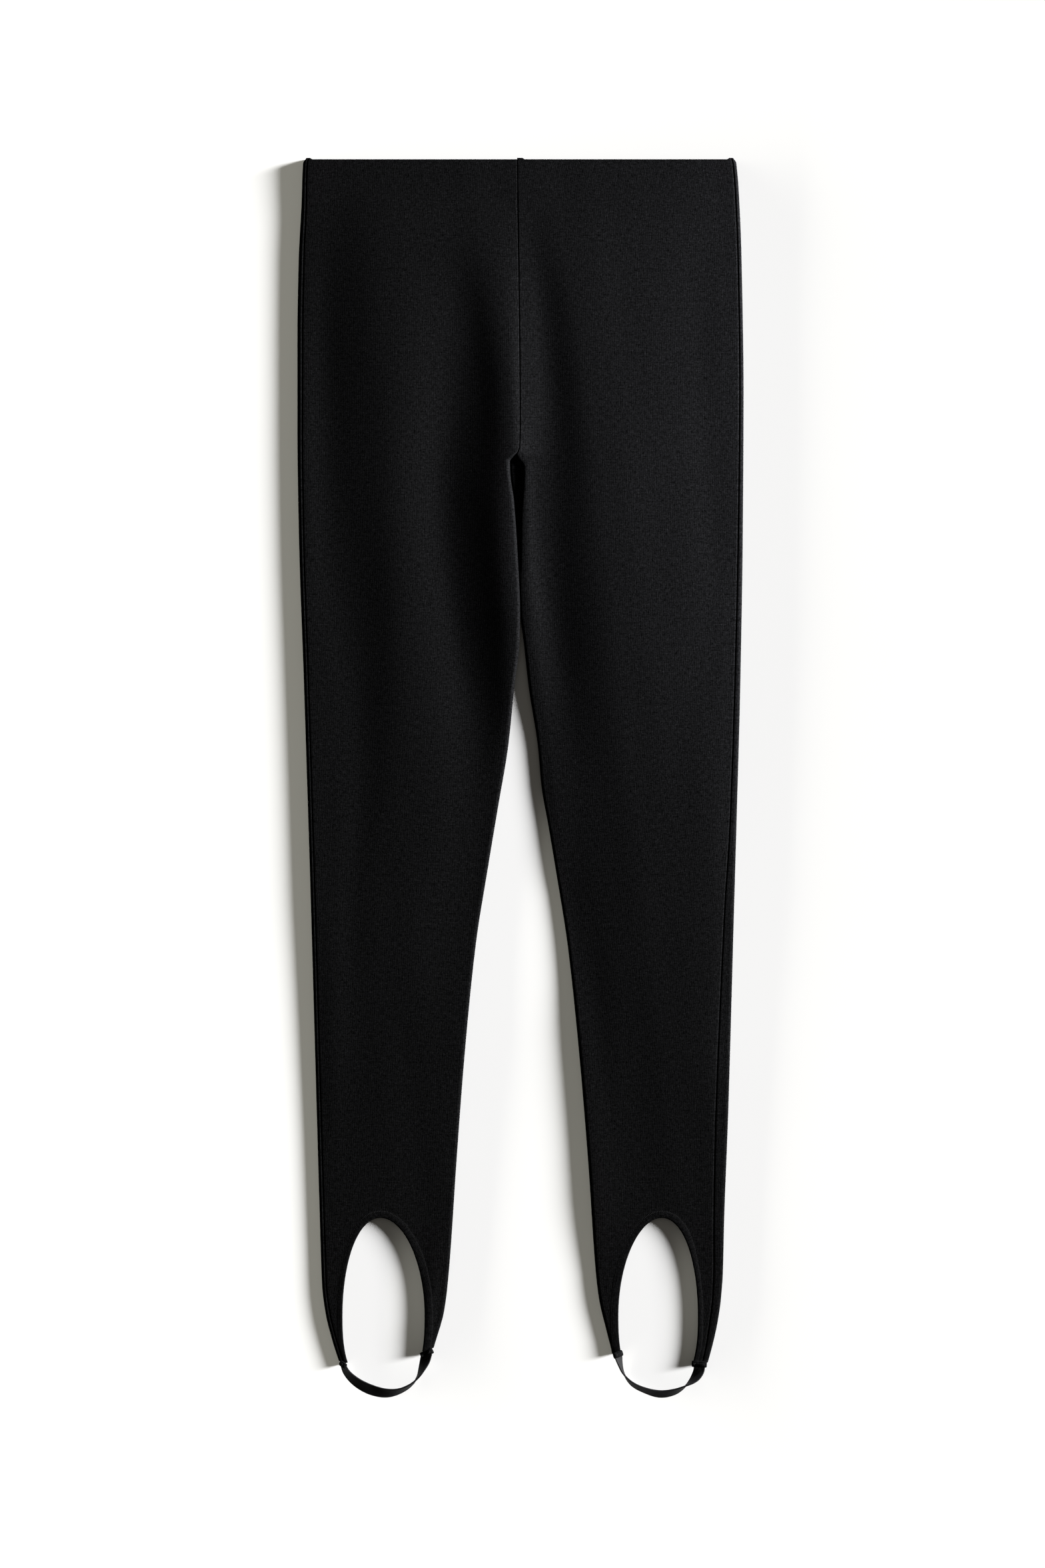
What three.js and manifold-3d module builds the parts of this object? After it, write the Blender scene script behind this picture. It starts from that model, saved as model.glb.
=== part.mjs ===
// Pull-on stirrup leggings in a firm black knit, laid flat on a surface with the front up.
// Millimetres. X runs across the garment, Y from the stirrups up to the waist, Z up from the surface.
// "down" is the distance below the waist edge. Left and right are the wearer's, so the right leg has x < 0.
import * as THREE from "three";
import { mergeVertices } from "three/addons/utils/BufferGeometryUtils.js";
import Module from "manifold-3d";

const wasm = await Module();
wasm.setup();

// Driving sizes
const LENGTH = 1050; // waist edge to the lowest point of the stirrup straps
const CLOTH = 1.5; // the knit
const WAIST_TURN = 1.1; // what the turned-in waist with its elastic adds to the wall
const WAIST_DEPTH = 32; // how deep the waist is turned in
const EDGE_SOFTEN = 0.3; // share of the wall that the rounded waist edge loses on each face
const SEAM_GAP = 0.3; // between panels that are sewn to each other
const LEG_GAP = 0.6; // between the thighs where they lie against each other
const SEAM_DIP = 0.8; // how far the cloth sinks into a seam
const SEAM_REACH = 1.4; // how far from a seam it starts to sink
const EDGE_ROLL = 3; // half-width of the fold along the outside of a leg
const EDGE_REACH = 15; // how far that fold shapes the cloth beside it
const SEAM_ROLL = { across: 0.6, half: 0.2 }; // what the turn into the centre seam adds to the wall
const CROTCH = { from: 246, to: 260 }; // the front seam ends and the legs part in this stretch

// Where a side table has no row the value runs smoothly between its neighbours.
const RIGHT_SIDE = [
  { down: 0, x: -182.9, seam: 3.4 },
  { down: 4, x: -184.3, seam: 3.4 },
  { down: 40, x: -185.7, seam: 3.8 },
  { down: 85, x: -188, seam: 4.2 },
  { down: 153, x: -189.1, seam: 4.2 },
  { down: 225, x: -189.1, seam: 4.0 },
  { down: 311, x: -188, seam: 3.8 },
  { down: 446, x: -183.5, seam: 3.6 },
  { down: 627, x: -177.8, seam: 3.4 },
  { down: 808, x: -172.7, seam: 3.4 },
  { down: 921, x: -169.4, seam: 3.4 },
  { down: 954, x: -168.2, seam: 3.4 },
  { down: 977, x: -165.4, seam: 3.4 },
  { down: 1000, x: -159.8, seam: 3.4 },
  { down: 1026, x: -151.4, seam: 3.4 },
];
const LEFT_SIDE = [
  { down: 0, x: 181.6, seam: 3.3 },
  { down: 4, x: 183, seam: 3.3 },
  { down: 40, x: 185.7, seam: 3.4 },
  { down: 85, x: 187.4, seam: 3.4 },
  { down: 198, x: 189.1, seam: 3.6 },
  { down: 311, x: 188.5, seam: 4.2 },
  { down: 446, x: 186.3, seam: 5.0 },
  { down: 560, x: 183.2, seam: 5.8 },
  { down: 640, x: 180.9, seam: 8.4 },
  { down: 808, x: 176.1, seam: 10.8 },
  { down: 898, x: 172.7, seam: 9.0 },
  { down: 943, x: 171.6, seam: 8.0 },
  { down: 966, x: 169.9, seam: 7.4 },
  { down: 985, x: 167.2, seam: 7.0 },
  { down: 1005, x: 162.8, seam: 5.6 },
  { down: 1026, x: 157, seam: 4.6 },
];
// The centre front seam, which hooks over at the crotch and goes on as the inside of each leg.
// roll is the half-width of the fold along the inside of the leg.
const RIGHT_INSIDE = [
  { down: 0, x: -2.9, roll: 4 },
  { down: 226, x: -0.8, roll: 4 },
  { down: 244, x: -1.2, roll: 4 },
  { down: 248, x: -2.6, roll: 4 },
  { down: 252, x: -6.2, roll: 4 },
  { down: 256, x: -9, roll: 4 },
  { down: 268, x: -8.5, roll: 4 },
  { down: 289, x: -5.6, roll: 4 },
  { down: 338, x: -2.3, roll: 4 },
  { down: 384, x: -0.4, roll: 4 },
  { down: 408, x: -0.8, roll: 4 },
  { down: 446, x: -5.1, roll: 3.8 },
  { down: 497, x: -10.4, roll: 3.4 },
  { down: 548, x: -18.9, roll: 3 },
  { down: 599, x: -27.4, roll: 3 },
  { down: 667, x: -38.1, roll: 3 },
  { down: 763, x: -47.7, roll: 3 },
  { down: 853, x: -54.5, roll: 3 },
  { down: 921, x: -59, roll: 3 },
  { down: 954, x: -61.8, roll: 3 },
  { down: 977, x: -64.9, roll: 3 },
  { down: 1000, x: -71.4, roll: 3 },
  { down: 1026, x: -79.6, roll: 3 },
];
const LEFT_INSIDE = [
  ...RIGHT_INSIDE.filter((row) => row.down <= 384).map((row) => ({
    down: row.down,
    x: row.x + (row.down > CROTCH.from ? LEG_GAP : 0),
    roll: 2.3,
  })),
  { down: 408, x: 2.6, roll: 2.6 },
  { down: 446, x: 6.8, roll: 3 },
  { down: 497, x: 14.7, roll: 3 },
  { down: 531, x: 17.8, roll: 3 },
  { down: 565, x: 23.7, roll: 3 },
  { down: 599, x: 29.4, roll: 3 },
  { down: 667, x: 40.1, roll: 3 },
  { down: 763, x: 50.2, roll: 3 },
  { down: 853, x: 57.6, roll: 3 },
  { down: 943, x: 63.8, roll: 3 },
  { down: 966, x: 66.6, roll: 3 },
  { down: 988, x: 71.7, roll: 3 },
  { down: 1026, x: 81.6, roll: 3 },
];
// Height of the garment over the surface, away from folds, and of its outside edge.
const HEIGHT = [
  { down: 0, middle: 6.4, edge: 6.4 },
  { down: 60, middle: 4.9, edge: 5.2 },
  { down: 150, middle: 4.7, edge: 4.9 },
  { down: 600, middle: 4.7, edge: 4.9 },
  { down: 880, middle: 4.8, edge: 4.9 },
  { down: 1026, middle: 5, edge: 5.6 },
];
// Soft folds that run down the legs: x of the crest or trough, its rise, and how far it reaches on each side.
// Below the crotch a fold belongs to one leg.
const FOLDS = [
  {
    leg: "right", // crest along the seam and then the inside of the right thigh
    rows: [
      { down: 30, x: -24, rise: 0, minus: 30, plus: 18 },
      { down: 60, x: -24, rise: 1.4, minus: 30, plus: 18 },
      { down: 107, x: -19, rise: 2.6, minus: 27, plus: 16 },
      { down: 150, x: -13, rise: 3.6, minus: 24, plus: 16 },
      { down: 200, x: -9, rise: 4.8, minus: 22, plus: 17 },
      { down: 240, x: -10, rise: 5.3, minus: 21, plus: 16 },
      { down: 280, x: -13, rise: 5.5, minus: 21, plus: 13 },
      { down: 320, x: -12, rise: 5.4, minus: 22, plus: 13 },
      { down: 375, x: -9, rise: 5, minus: 24, plus: 13 },
      { down: 450, x: -9, rise: 3.3, minus: 24, plus: 12 },
      { down: 520, x: -20, rise: 1.2, minus: 17, plus: 12 },
      { down: 610, x: -36, rise: 0, minus: 12, plus: 12 },
    ],
  },
  {
    leg: "right", // trough beyond that crest
    rows: [
      { down: 80, x: -58, rise: 0, minus: 20, plus: 18 },
      { down: 150, x: -58, rise: -1.2, minus: 19, plus: 17 },
      { down: 240, x: -63, rise: -1.2, minus: 19, plus: 18 },
      { down: 280, x: -66, rise: -1.2, minus: 20, plus: 19 },
      { down: 320, x: -63, rise: -1.2, minus: 20, plus: 19 },
      { down: 375, x: -55, rise: -1.2, minus: 20, plus: 17 },
      { down: 450, x: -45, rise: -1.2, minus: 21, plus: 15 },
      { down: 520, x: -42, rise: -1.2, minus: 20, plus: 15 },
      { down: 600, x: -46, rise: -1, minus: 20, plus: 15 },
      { down: 700, x: -54, rise: -0.7, minus: 18, plus: 14 },
      { down: 840, x: -64, rise: 0, minus: 18, plus: 14 },
    ],
  },
  {
    leg: "right", // swell down the middle of the right leg
    rows: [
      { down: 20, x: -112, rise: 0, minus: 34, plus: 40 },
      { down: 60, x: -115, rise: 1.7, minus: 32, plus: 40 },
      { down: 100, x: -115, rise: 2.5, minus: 32, plus: 36 },
      { down: 150, x: -112, rise: 3.5, minus: 33, plus: 30 },
      { down: 200, x: -110, rise: 3.8, minus: 33, plus: 28 },
      { down: 240, x: -109, rise: 3.5, minus: 33, plus: 27 },
      { down: 320, x: -105, rise: 3.3, minus: 34, plus: 26 },
      { down: 375, x: -101, rise: 3.7, minus: 32, plus: 28 },
      { down: 450, x: -94, rise: 3.2, minus: 30, plus: 30 },
      { down: 520, x: -90, rise: 1.7, minus: 30, plus: 30 },
      { down: 600, x: -97, rise: 0.7, minus: 30, plus: 30 },
      { down: 760, x: -100, rise: 0.5, minus: 30, plus: 30 },
      { down: 900, x: -114, rise: 0, minus: 26, plus: 26 },
    ],
  },
  {
    leg: "right", // long trough down the outside of the right leg
    rows: [
      { down: 40, x: -168, rise: 0, minus: 9, plus: 12 },
      { down: 100, x: -165, rise: -0.5, minus: 9, plus: 13 },
      { down: 200, x: -162, rise: -0.8, minus: 10, plus: 14 },
      { down: 280, x: -159, rise: -1.2, minus: 12, plus: 17 },
      { down: 320, x: -156, rise: -1.1, minus: 13, plus: 18 },
      { down: 375, x: -150, rise: -1, minus: 14, plus: 18 },
      { down: 450, x: -139, rise: -1.1, minus: 15, plus: 16 },
      { down: 520, x: -134, rise: -1.2, minus: 14, plus: 17 },
      { down: 600, x: -139, rise: -1, minus: 12, plus: 16 },
      { down: 680, x: -142, rise: -0.7, minus: 11, plus: 14 },
      { down: 760, x: -141, rise: -0.6, minus: 11, plus: 14 },
      { down: 880, x: -150, rise: 0, minus: 10, plus: 10 },
    ],
  },
  {
    leg: "left", // crest along the inside of the left thigh
    rows: [
      { down: 100, x: 3, rise: 0, minus: 10, plus: 10 },
      { down: 200, x: 6, rise: 0.5, minus: 9, plus: 11 },
      { down: 240, x: 8, rise: 1.6, minus: 8, plus: 11 },
      { down: 262, x: 9, rise: 2.7, minus: 10, plus: 10 },
      { down: 310, x: 9, rise: 2.8, minus: 12, plus: 10 },
      { down: 375, x: 8, rise: 2.8, minus: 12, plus: 11 },
      { down: 450, x: 16, rise: 1.3, minus: 10, plus: 12 },
      { down: 520, x: 26, rise: 0, minus: 10, plus: 12 },
    ],
  },
  {
    leg: "left", // trough beyond that crest
    rows: [
      { down: 40, x: 8, rise: 0, minus: 9, plus: 10 },
      { down: 70, x: 11, rise: -0.8, minus: 9, plus: 10 },
      { down: 100, x: 16, rise: -1.2, minus: 9, plus: 10 },
      { down: 150, x: 21, rise: -1.2, minus: 9, plus: 11 },
      { down: 240, x: 25, rise: -1.2, minus: 10, plus: 12 },
      { down: 320, x: 25, rise: -1.2, minus: 10, plus: 12 },
      { down: 375, x: 27, rise: -1.2, minus: 10, plus: 13 },
      { down: 450, x: 34, rise: -1.2, minus: 12, plus: 14 },
      { down: 520, x: 36, rise: -1.1, minus: 13, plus: 16 },
      { down: 600, x: 44, rise: -0.5, minus: 12, plus: 16 },
      { down: 680, x: 56, rise: 0, minus: 12, plus: 16 },
    ],
  },
  {
    leg: "left", // swell down the middle of the left leg
    rows: [
      { down: 50, x: 46, rise: 0, minus: 12, plus: 60 },
      { down: 100, x: 50, rise: 1, minus: 13, plus: 60 },
      { down: 150, x: 57, rise: 1.9, minus: 16, plus: 64 },
      { down: 200, x: 62, rise: 2.5, minus: 18, plus: 66 },
      { down: 240, x: 66, rise: 3, minus: 20, plus: 68 },
      { down: 280, x: 68, rise: 3.5, minus: 20, plus: 70 },
      { down: 320, x: 70, rise: 3.8, minus: 21, plus: 70 },
      { down: 375, x: 78, rise: 4, minus: 24, plus: 68 },
      { down: 450, x: 86, rise: 3.1, minus: 25, plus: 66 },
      { down: 520, x: 93, rise: 2.4, minus: 28, plus: 60 },
      { down: 600, x: 102, rise: 2.5, minus: 32, plus: 54 },
      { down: 680, x: 109, rise: 2.1, minus: 32, plus: 50 },
      { down: 760, x: 121, rise: 1.1, minus: 28, plus: 40 },
      { down: 900, x: 120, rise: 0, minus: 24, plus: 30 },
    ],
  },
  {
    leg: "left", // faint trough down the outside of the left leg
    rows: [
      { down: 60, x: 163, rise: 0, minus: 9, plus: 8 },
      { down: 150, x: 163, rise: -0.5, minus: 9, plus: 8 },
      { down: 280, x: 165, rise: -0.5, minus: 9, plus: 8 },
      { down: 380, x: 160, rise: -0.4, minus: 10, plus: 9 },
      { down: 520, x: 158, rise: -0.3, minus: 10, plus: 9 },
      { down: 640, x: 156, rise: 0, minus: 10, plus: 9 },
    ],
  },
  {
    leg: "left", // floor of the valley between the thighs
    rows: [
      { down: 247, x: -3, rise: 0, minus: 8, plus: 6 },
      { down: 257, x: -3, rise: -1.6, minus: 8, plus: 6 },
      { down: 330, x: 0, rise: -1.5, minus: 8, plus: 5 },
      { down: 400, x: 3, rise: 0, minus: 8, plus: 5 },
    ],
  },
];
// The oval opening over the foot: a half ellipse above its widest place and a squarer curve below.
const OVAL = { widest: 980, rise: 83, fall: 63, square: 2.6, steps: 28 };
const OVALS = {
  right: { x: -116.1, half: 34.8, lean: -2.6 },
  left: { x: 116.7, half: 33.7, lean: 3 },
};
// Section of a sewn end: a rounded rectangle, squarer than an ellipse where square is under 1.
const BAND = { bevel: 0.9, points: 16, square: 0.7 };
// The sewn ends where each strap joins a point of the hem: size across, along and through, and turn about Z.
// lean is 0 where a band or a strap lies face up, 90 where it stands on its edge, and past 90 it tips inward.
const STRAP_SEAMS = [
  {
    leg: "right", at: "outer",
    x: -150.3, down: 1021, across: 10, along: 4.6, through: 4.2, lean: 116, turn: -24,
  },
  {
    leg: "right", at: "inner",
    x: -79.4, down: 1011.4, across: 12, along: 5, through: 4.6, lean: 16, turn: 27,
  },
  {
    leg: "left", at: "inner",
    x: 82.6, down: 1012.4, across: 10.6, along: 5, through: 4.2, lean: 44, turn: 16,
  },
  {
    leg: "left", at: "outer",
    x: 151.5, down: 1020.8, across: 13, along: 5.4, through: 4.8, lean: 8, turn: -2,
  },
];
// Middle line of each elastic strap between its sewn ends; lift is the gap under it.
const STRAP = { width: 9.8, thick: 1.5, steps: 34 };
const STRAPS = {
  right: [
    { x: -147, down: 1028, lean: 130, lift: 0.1 },
    { x: -139.4, down: 1035.7, lean: 147, lift: 0.1 },
    { x: -127.6, down: 1042.3, lean: 160, lift: 0.1 },
    { x: -114.3, down: 1045.3, lean: 147, lift: 0.1 },
    { x: -102.4, down: 1043.4, lean: 121, lift: 0.1 },
    { x: -93, down: 1038.3, lean: 104, lift: 0.1 },
    { x: -87.4, down: 1032.2, lean: 86, lift: 0.1 },
    { x: -83.6, down: 1024.6, lean: 58, lift: 0.4 },
    { x: -80.8, down: 1017.4, lean: 28, lift: 1.2 },
  ],
  left: [
    { x: 84.2, down: 1019.6, lean: 66, lift: 0.4 },
    { x: 87.4, down: 1028.6, lean: 88, lift: 0.2 },
    { x: 94.6, down: 1037.3, lean: 111, lift: 0.1 },
    { x: 105.6, down: 1042.9, lean: 122, lift: 0.1 },
    { x: 118.6, down: 1046, lean: 134, lift: 0.1 },
    { x: 130.8, down: 1044, lean: 124, lift: 0.1 },
    { x: 140.8, down: 1038.4, lean: 92, lift: 0.1 },
    { x: 148, down: 1032, lean: 46, lift: 0.6 },
    { x: 151.2, down: 1026, lean: 18, lift: 1.4 },
  ],
};
// Rows of the panels: the spacing in each stretch down to a distance from the waist.
const ROWS = [
  { to: 0.9, step: 0.9 },
  { to: 4, step: 3.1 },
  { to: WAIST_DEPTH + 2, step: 15 },
  { to: 244, step: 35 },
  { to: CROTCH.to + 4, step: 4 },
  { to: 414, step: 30 },
  { to: 914, step: 50 },
  { to: 1026, step: 16 },
];
const SEAM_COLUMNS = [0, 1, 2.6]; // insets of a front panel's first columns, from its side seam
const TOP_STEPS = 14; // across the rest of a front panel
const TOP_SPREAD = 1.3; // above 1 the columns stand closer at both ends
const ROLL_STEPS = 3; // round a quarter of a fold
const BOTTOM_STEPS = 2; // across a back panel
// Small rises of the waist edge over the seams: height, depth below the edge, and where they start and end.
const NUB = { rise: 1.2, depth: 6, clear: 0.6, full: 2.4, fade: 5, end: 8 };
// The block that cuts a foot opening: how far it goes past the hem, and how far it reaches under a sewn end.
const CUT = { beyond: 20, below: 10, high: 40, under: 0.6, ease: [9, 22] };

const LEGS = {
  right: { inward: 1, side: RIGHT_SIDE, inside: RIGHT_INSIDE },
  left: { inward: -1, side: LEFT_SIDE, inside: LEFT_INSIDE },
};
const FABRIC = { color: 0x0c0c0d, roughness: 0.86, metalness: 0 };
const ELASTIC = { color: 0x131314, roughness: 0.62, metalness: 0 };
const DEG = Math.PI / 180;

function mix(a, b, share) {
  return a + (b - a) * share;
}

function step(from, to, value) {
  const t = Math.min(1, Math.max(0, (value - from) / (to - from)));
  return t * t * (3 - 2 * t);
}

// A smooth curve through one column of a table, with no overshoot between rows.
function column(rows, name) {
  const at = rows.map((row) => row.down);
  const value = rows.map((row) => row[name]);
  const slope = at.slice(1).map((d, i) => (value[i + 1] - value[i]) / (d - at[i]));
  const tangent = value.map((_, i) => {
    const before = slope[Math.max(0, i - 1)];
    const after = slope[Math.min(i, slope.length - 1)];
    return before * after <= 0 ? 0 : (2 * before * after) / (before + after);
  });
  return (down) => {
    if (down <= at[0]) return value[0];
    if (down >= at.at(-1)) return value.at(-1);
    const i = at.findIndex((d) => d > down) - 1;
    const width = at[i + 1] - at[i];
    const t = (down - at[i]) / width;
    return (
      value[i] * (1 + 2 * t) * (1 - t) ** 2 +
      tangent[i] * width * t * (1 - t) ** 2 +
      value[i + 1] * t * t * (3 - 2 * t) +
      tangent[i + 1] * width * t * t * (t - 1)
    );
  };
}

for (const leg of Object.values(LEGS)) {
  leg.outerAt = column(leg.side, "x");
  leg.seamAt = column(leg.side, "seam");
  leg.innerAt = column(leg.inside, "x");
  leg.rollAt = column(leg.inside, "roll");
}
const middleAt = column(HEIGHT, "middle");
const edgeAt = column(HEIGHT, "edge");
const folds = FOLDS.map(({ leg, rows }) => ({
  leg,
  xAt: column(rows, "x"),
  riseAt: column(rows, "rise"),
  minusAt: column(rows, "minus"),
  plusAt: column(rows, "plus"),
}));

function wallAt(down) {
  return CLOTH + WAIST_TURN * (1 - step(WAIST_DEPTH - 3, WAIST_DEPTH + 3, down));
}

// 0 above the crotch and 1 below it
function partedAt(down) {
  return step(CROTCH.from, CROTCH.to, down);
}

// Height of the upper outer surface, in from the outside edge of a leg by "inset".
function heightAt(name, inset, down) {
  const leg = LEGS[name];
  const x = leg.outerAt(down) + leg.inward * inset;
  let z = middleAt(down);
  for (const fold of folds) {
    const offset = x - fold.xAt(down);
    const reach = offset < 0 ? fold.minusAt(down) : fold.plusAt(down);
    const share = fold.leg === name ? 1 : 1 - partedAt(down);
    z += share * fold.riseAt(down) * Math.exp(-((offset / reach) ** 2));
  }
  const fromEdge = step(0, EDGE_REACH, inset - EDGE_ROLL);
  const fromSeam = (inset - leg.seamAt(down)) / SEAM_REACH;
  return mix(edgeAt(down), z, fromEdge) - SEAM_DIP * Math.exp(-(fromSeam ** 2));
}

// The fold along the inside of a leg, or above the crotch the small roll of the cloth into the centre seam.
function insideFold(name, down) {
  const leg = LEGS[name];
  const parted = partedAt(down);
  const width = Math.abs(leg.innerAt(down) - leg.outerAt(down)) - SEAM_GAP / 2;
  const across = mix(wallAt(down) + SEAM_ROLL.across, leg.rollAt(down), parted);
  const top = heightAt(name, width - across, down);
  const half = mix(wallAt(down) + SEAM_ROLL.half, top / 2, parted);
  return { start: width - across, across, half, top, end: Math.asin(SEAM_GAP / 2 / half) };
}

// Outer line of a front panel at one row, as [inset, z], from the side seam to the centre seam or inseam.
function frontLine(name, down) {
  const start = LEGS[name].seamAt(down) + SEAM_GAP / 2;
  const fold = insideFold(name, down);
  const insets = SEAM_COLUMNS.map((inset) => start + inset);
  const last = insets.at(-1);
  for (let i = 1; i <= TOP_STEPS; i += 1) {
    insets.push(mix(last, fold.start, Math.sin((i / TOP_STEPS) * 90 * DEG) ** TOP_SPREAD));
  }
  const line = insets.map((inset) => [inset, heightAt(name, inset, down)]);
  for (let i = 1; i <= ROLL_STEPS; i += 1) {
    const angle = mix(90 * DEG, fold.end, i / ROLL_STEPS);
    line.push([
      fold.start + fold.across * Math.cos(angle),
      fold.top - fold.half + fold.half * Math.sin(angle),
    ]);
  }
  return line;
}

// Outer line of a back panel at one row, from the side seam out round the edge and along the surface.
function backLine(name, down) {
  const start = LEGS[name].seamAt(down) - SEAM_GAP / 2;
  const fold = insideFold(name, down);
  const half = edgeAt(down) / 2;
  const line = [];
  for (let i = 0; i < ROLL_STEPS; i += 1) {
    const inset = mix(start, EDGE_ROLL, i / ROLL_STEPS);
    line.push([inset, heightAt(name, inset, down)]);
  }
  for (let i = 0; i <= 2 * ROLL_STEPS; i += 1) {
    const angle = mix(90, 270, i / (2 * ROLL_STEPS)) * DEG;
    line.push([EDGE_ROLL * (1 + Math.cos(angle)), half * (1 + Math.sin(angle))]);
  }
  for (let i = 1; i <= BOTTOM_STEPS; i += 1) {
    line.push([mix(EDGE_ROLL, fold.start, i / BOTTOM_STEPS), 0]);
  }
  for (let i = 1; i <= ROLL_STEPS; i += 1) {
    const angle = mix(90 * DEG, fold.end, i / ROLL_STEPS);
    line.push([fold.start + fold.across * Math.cos(angle), fold.half * (1 - Math.sin(angle))]);
  }
  return line;
}

// How far the waist edge rises over the side seams and beside the centre seam.
function nubAt(name, x, down) {
  const leg = LEGS[name];
  const inset = Math.abs(x - leg.outerAt(0));
  const beside = Math.abs(x - leg.innerAt(0));
  const side = step(NUB.clear, NUB.full, inset) * (1 - step(NUB.fade, NUB.end, inset));
  const centre = name === "left" ? 1 - step(NUB.fade, NUB.end, beside) : 0;
  return NUB.rise * (side + centre) * (1 - step(0, NUB.depth, down));
}

function stations() {
  const list = [0];
  for (const { to, step: size } of ROWS) {
    const from = list.at(-1);
    const count = Math.max(1, Math.round((to - from) / size));
    for (let i = 1; i <= count; i += 1) list.push(mix(from, to, i / count));
  }
  return list;
}

// A closed wall: each row's outer line, and an inner line the wall's thickness inside it.
function panelGeometry(name, lineAt, turn) {
  const leg = LEGS[name];
  const rows = stations().map((down, row) => {
    const line = lineAt(name, down);
    const wall = wallAt(down);
    const soften = row === 0 ? EDGE_SOFTEN * wall : 0;
    return line.map(([inset, z], i) => {
      const [insetA, zA] = line[Math.max(0, i - 1)];
      const [insetB, zB] = line[Math.min(line.length - 1, i + 1)];
      const run = Math.hypot(insetB - insetA, zB - zA);
      let normal = [(turn * (zB - zA)) / run, (-turn * (insetB - insetA)) / run];
      if (i === 0) normal = [0, -1];
      if (i === line.length - 1) normal = [-1, 0];
      const place = (depth) => {
        const x = leg.outerAt(down) + leg.inward * (inset + normal[0] * depth);
        return [x, LENGTH / 2 - down + nubAt(name, x, down), z + normal[1] * depth];
      };
      return { outer: place(soften), inner: place(wall - soften) };
    });
  });
  const columns = rows[0].length;
  const points = [];
  for (const side of ["outer", "inner"]) {
    for (const row of rows) for (const point of row) points.push(...point[side]);
  }
  const index = (side, row, i) => side * rows.length * columns + row * columns + i;
  const faces = [];
  const quad = (a, b, c, d) => faces.push(a, b, c, a, c, d);
  for (let row = 0; row < rows.length - 1; row += 1) {
    for (let i = 0; i < columns - 1; i += 1) {
      quad(index(0, row, i), index(0, row + 1, i), index(0, row + 1, i + 1), index(0, row, i + 1));
      quad(index(1, row, i), index(1, row, i + 1), index(1, row + 1, i + 1), index(1, row + 1, i));
    }
    quad(index(0, row, 0), index(1, row, 0), index(1, row + 1, 0), index(0, row + 1, 0));
    const last = columns - 1;
    quad(index(0, row, last), index(0, row + 1, last), index(1, row + 1, last), index(1, row, last));
  }
  for (let i = 0; i < columns - 1; i += 1) {
    const end = rows.length - 1;
    quad(index(0, 0, i), index(0, 0, i + 1), index(1, 0, i + 1), index(1, 0, i));
    quad(index(0, end, i), index(1, end, i), index(1, end, i + 1), index(0, end, i + 1));
  }
  return closedGeometry(points, faces);
}

// A geometry whose faces point out, whichever way they were listed.
function closedGeometry(points, faces) {
  let volume = 0;
  const corner = (i) => new THREE.Vector3().fromArray(points, 3 * faces[i]);
  for (let i = 0; i < faces.length; i += 3) {
    volume += corner(i).dot(corner(i + 1).cross(corner(i + 2)));
  }
  if (volume < 0) {
    for (let i = 0; i < faces.length; i += 3) {
      [faces[i + 1], faces[i + 2]] = [faces[i + 2], faces[i + 1]];
    }
  }
  const geometry = new THREE.BufferGeometry();
  geometry.setAttribute("position", new THREE.Float32BufferAttribute(points, 3));
  geometry.setIndex(faces);
  return geometry;
}

function toSolid(geometry) {
  const bare = geometry.clone();
  bare.deleteAttribute("normal");
  bare.deleteAttribute("uv");
  const merged = mergeVertices(bare, 1e-4);
  return new wasm.Manifold(
    new wasm.Mesh({
      numProp: 3,
      vertProperties: new Float32Array(merged.attributes.position.array),
      triVerts: new Uint32Array(merged.index.array),
    }),
  );
}

function toGeometry(solid) {
  const { vertProperties, triVerts } = solid.getMesh();
  const geometry = new THREE.BufferGeometry();
  geometry.setAttribute("position", new THREE.BufferAttribute(new Float32Array(vertProperties), 3));
  geometry.setIndex(new THREE.BufferAttribute(new Uint32Array(triVerts), 1));
  return geometry;
}

// x of the oval's border on one side (-1 or 1) at a distance below the waist.
function ovalBorder(name, side, down) {
  const { x, half, lean } = OVALS[name];
  const above = Math.max(0, OVAL.widest - down) / OVAL.rise;
  const below = Math.max(0, down - OVAL.widest) / OVAL.fall;
  const share = Math.sqrt(Math.max(0, 1 - above ** 2)) * (1 - below ** OVAL.square) ** (1 / OVAL.square);
  return x + lean * above ** 2 + side * half * share;
}

// Half of what a leaning seam band covers, seen from above or from its end.
function bandHalf(seam) {
  const side = Math.abs(Math.cos(seam.lean * DEG));
  const rise = Math.sin(seam.lean * DEG);
  return {
    wide: (seam.across * side + seam.through * rise) / 2,
    high: (seam.across * rise + seam.through * side) / 2,
  };
}

// Whether the outside of the strap's curve lies towards smaller x at this end.
function towardLess(seam) {
  return seam === seamsOf(seam.leg)[0];
}

function seamsOf(name) {
  return STRAP_SEAMS.filter((seam) => seam.leg === name).sort((a, b) => a.x - b.x);
}

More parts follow.
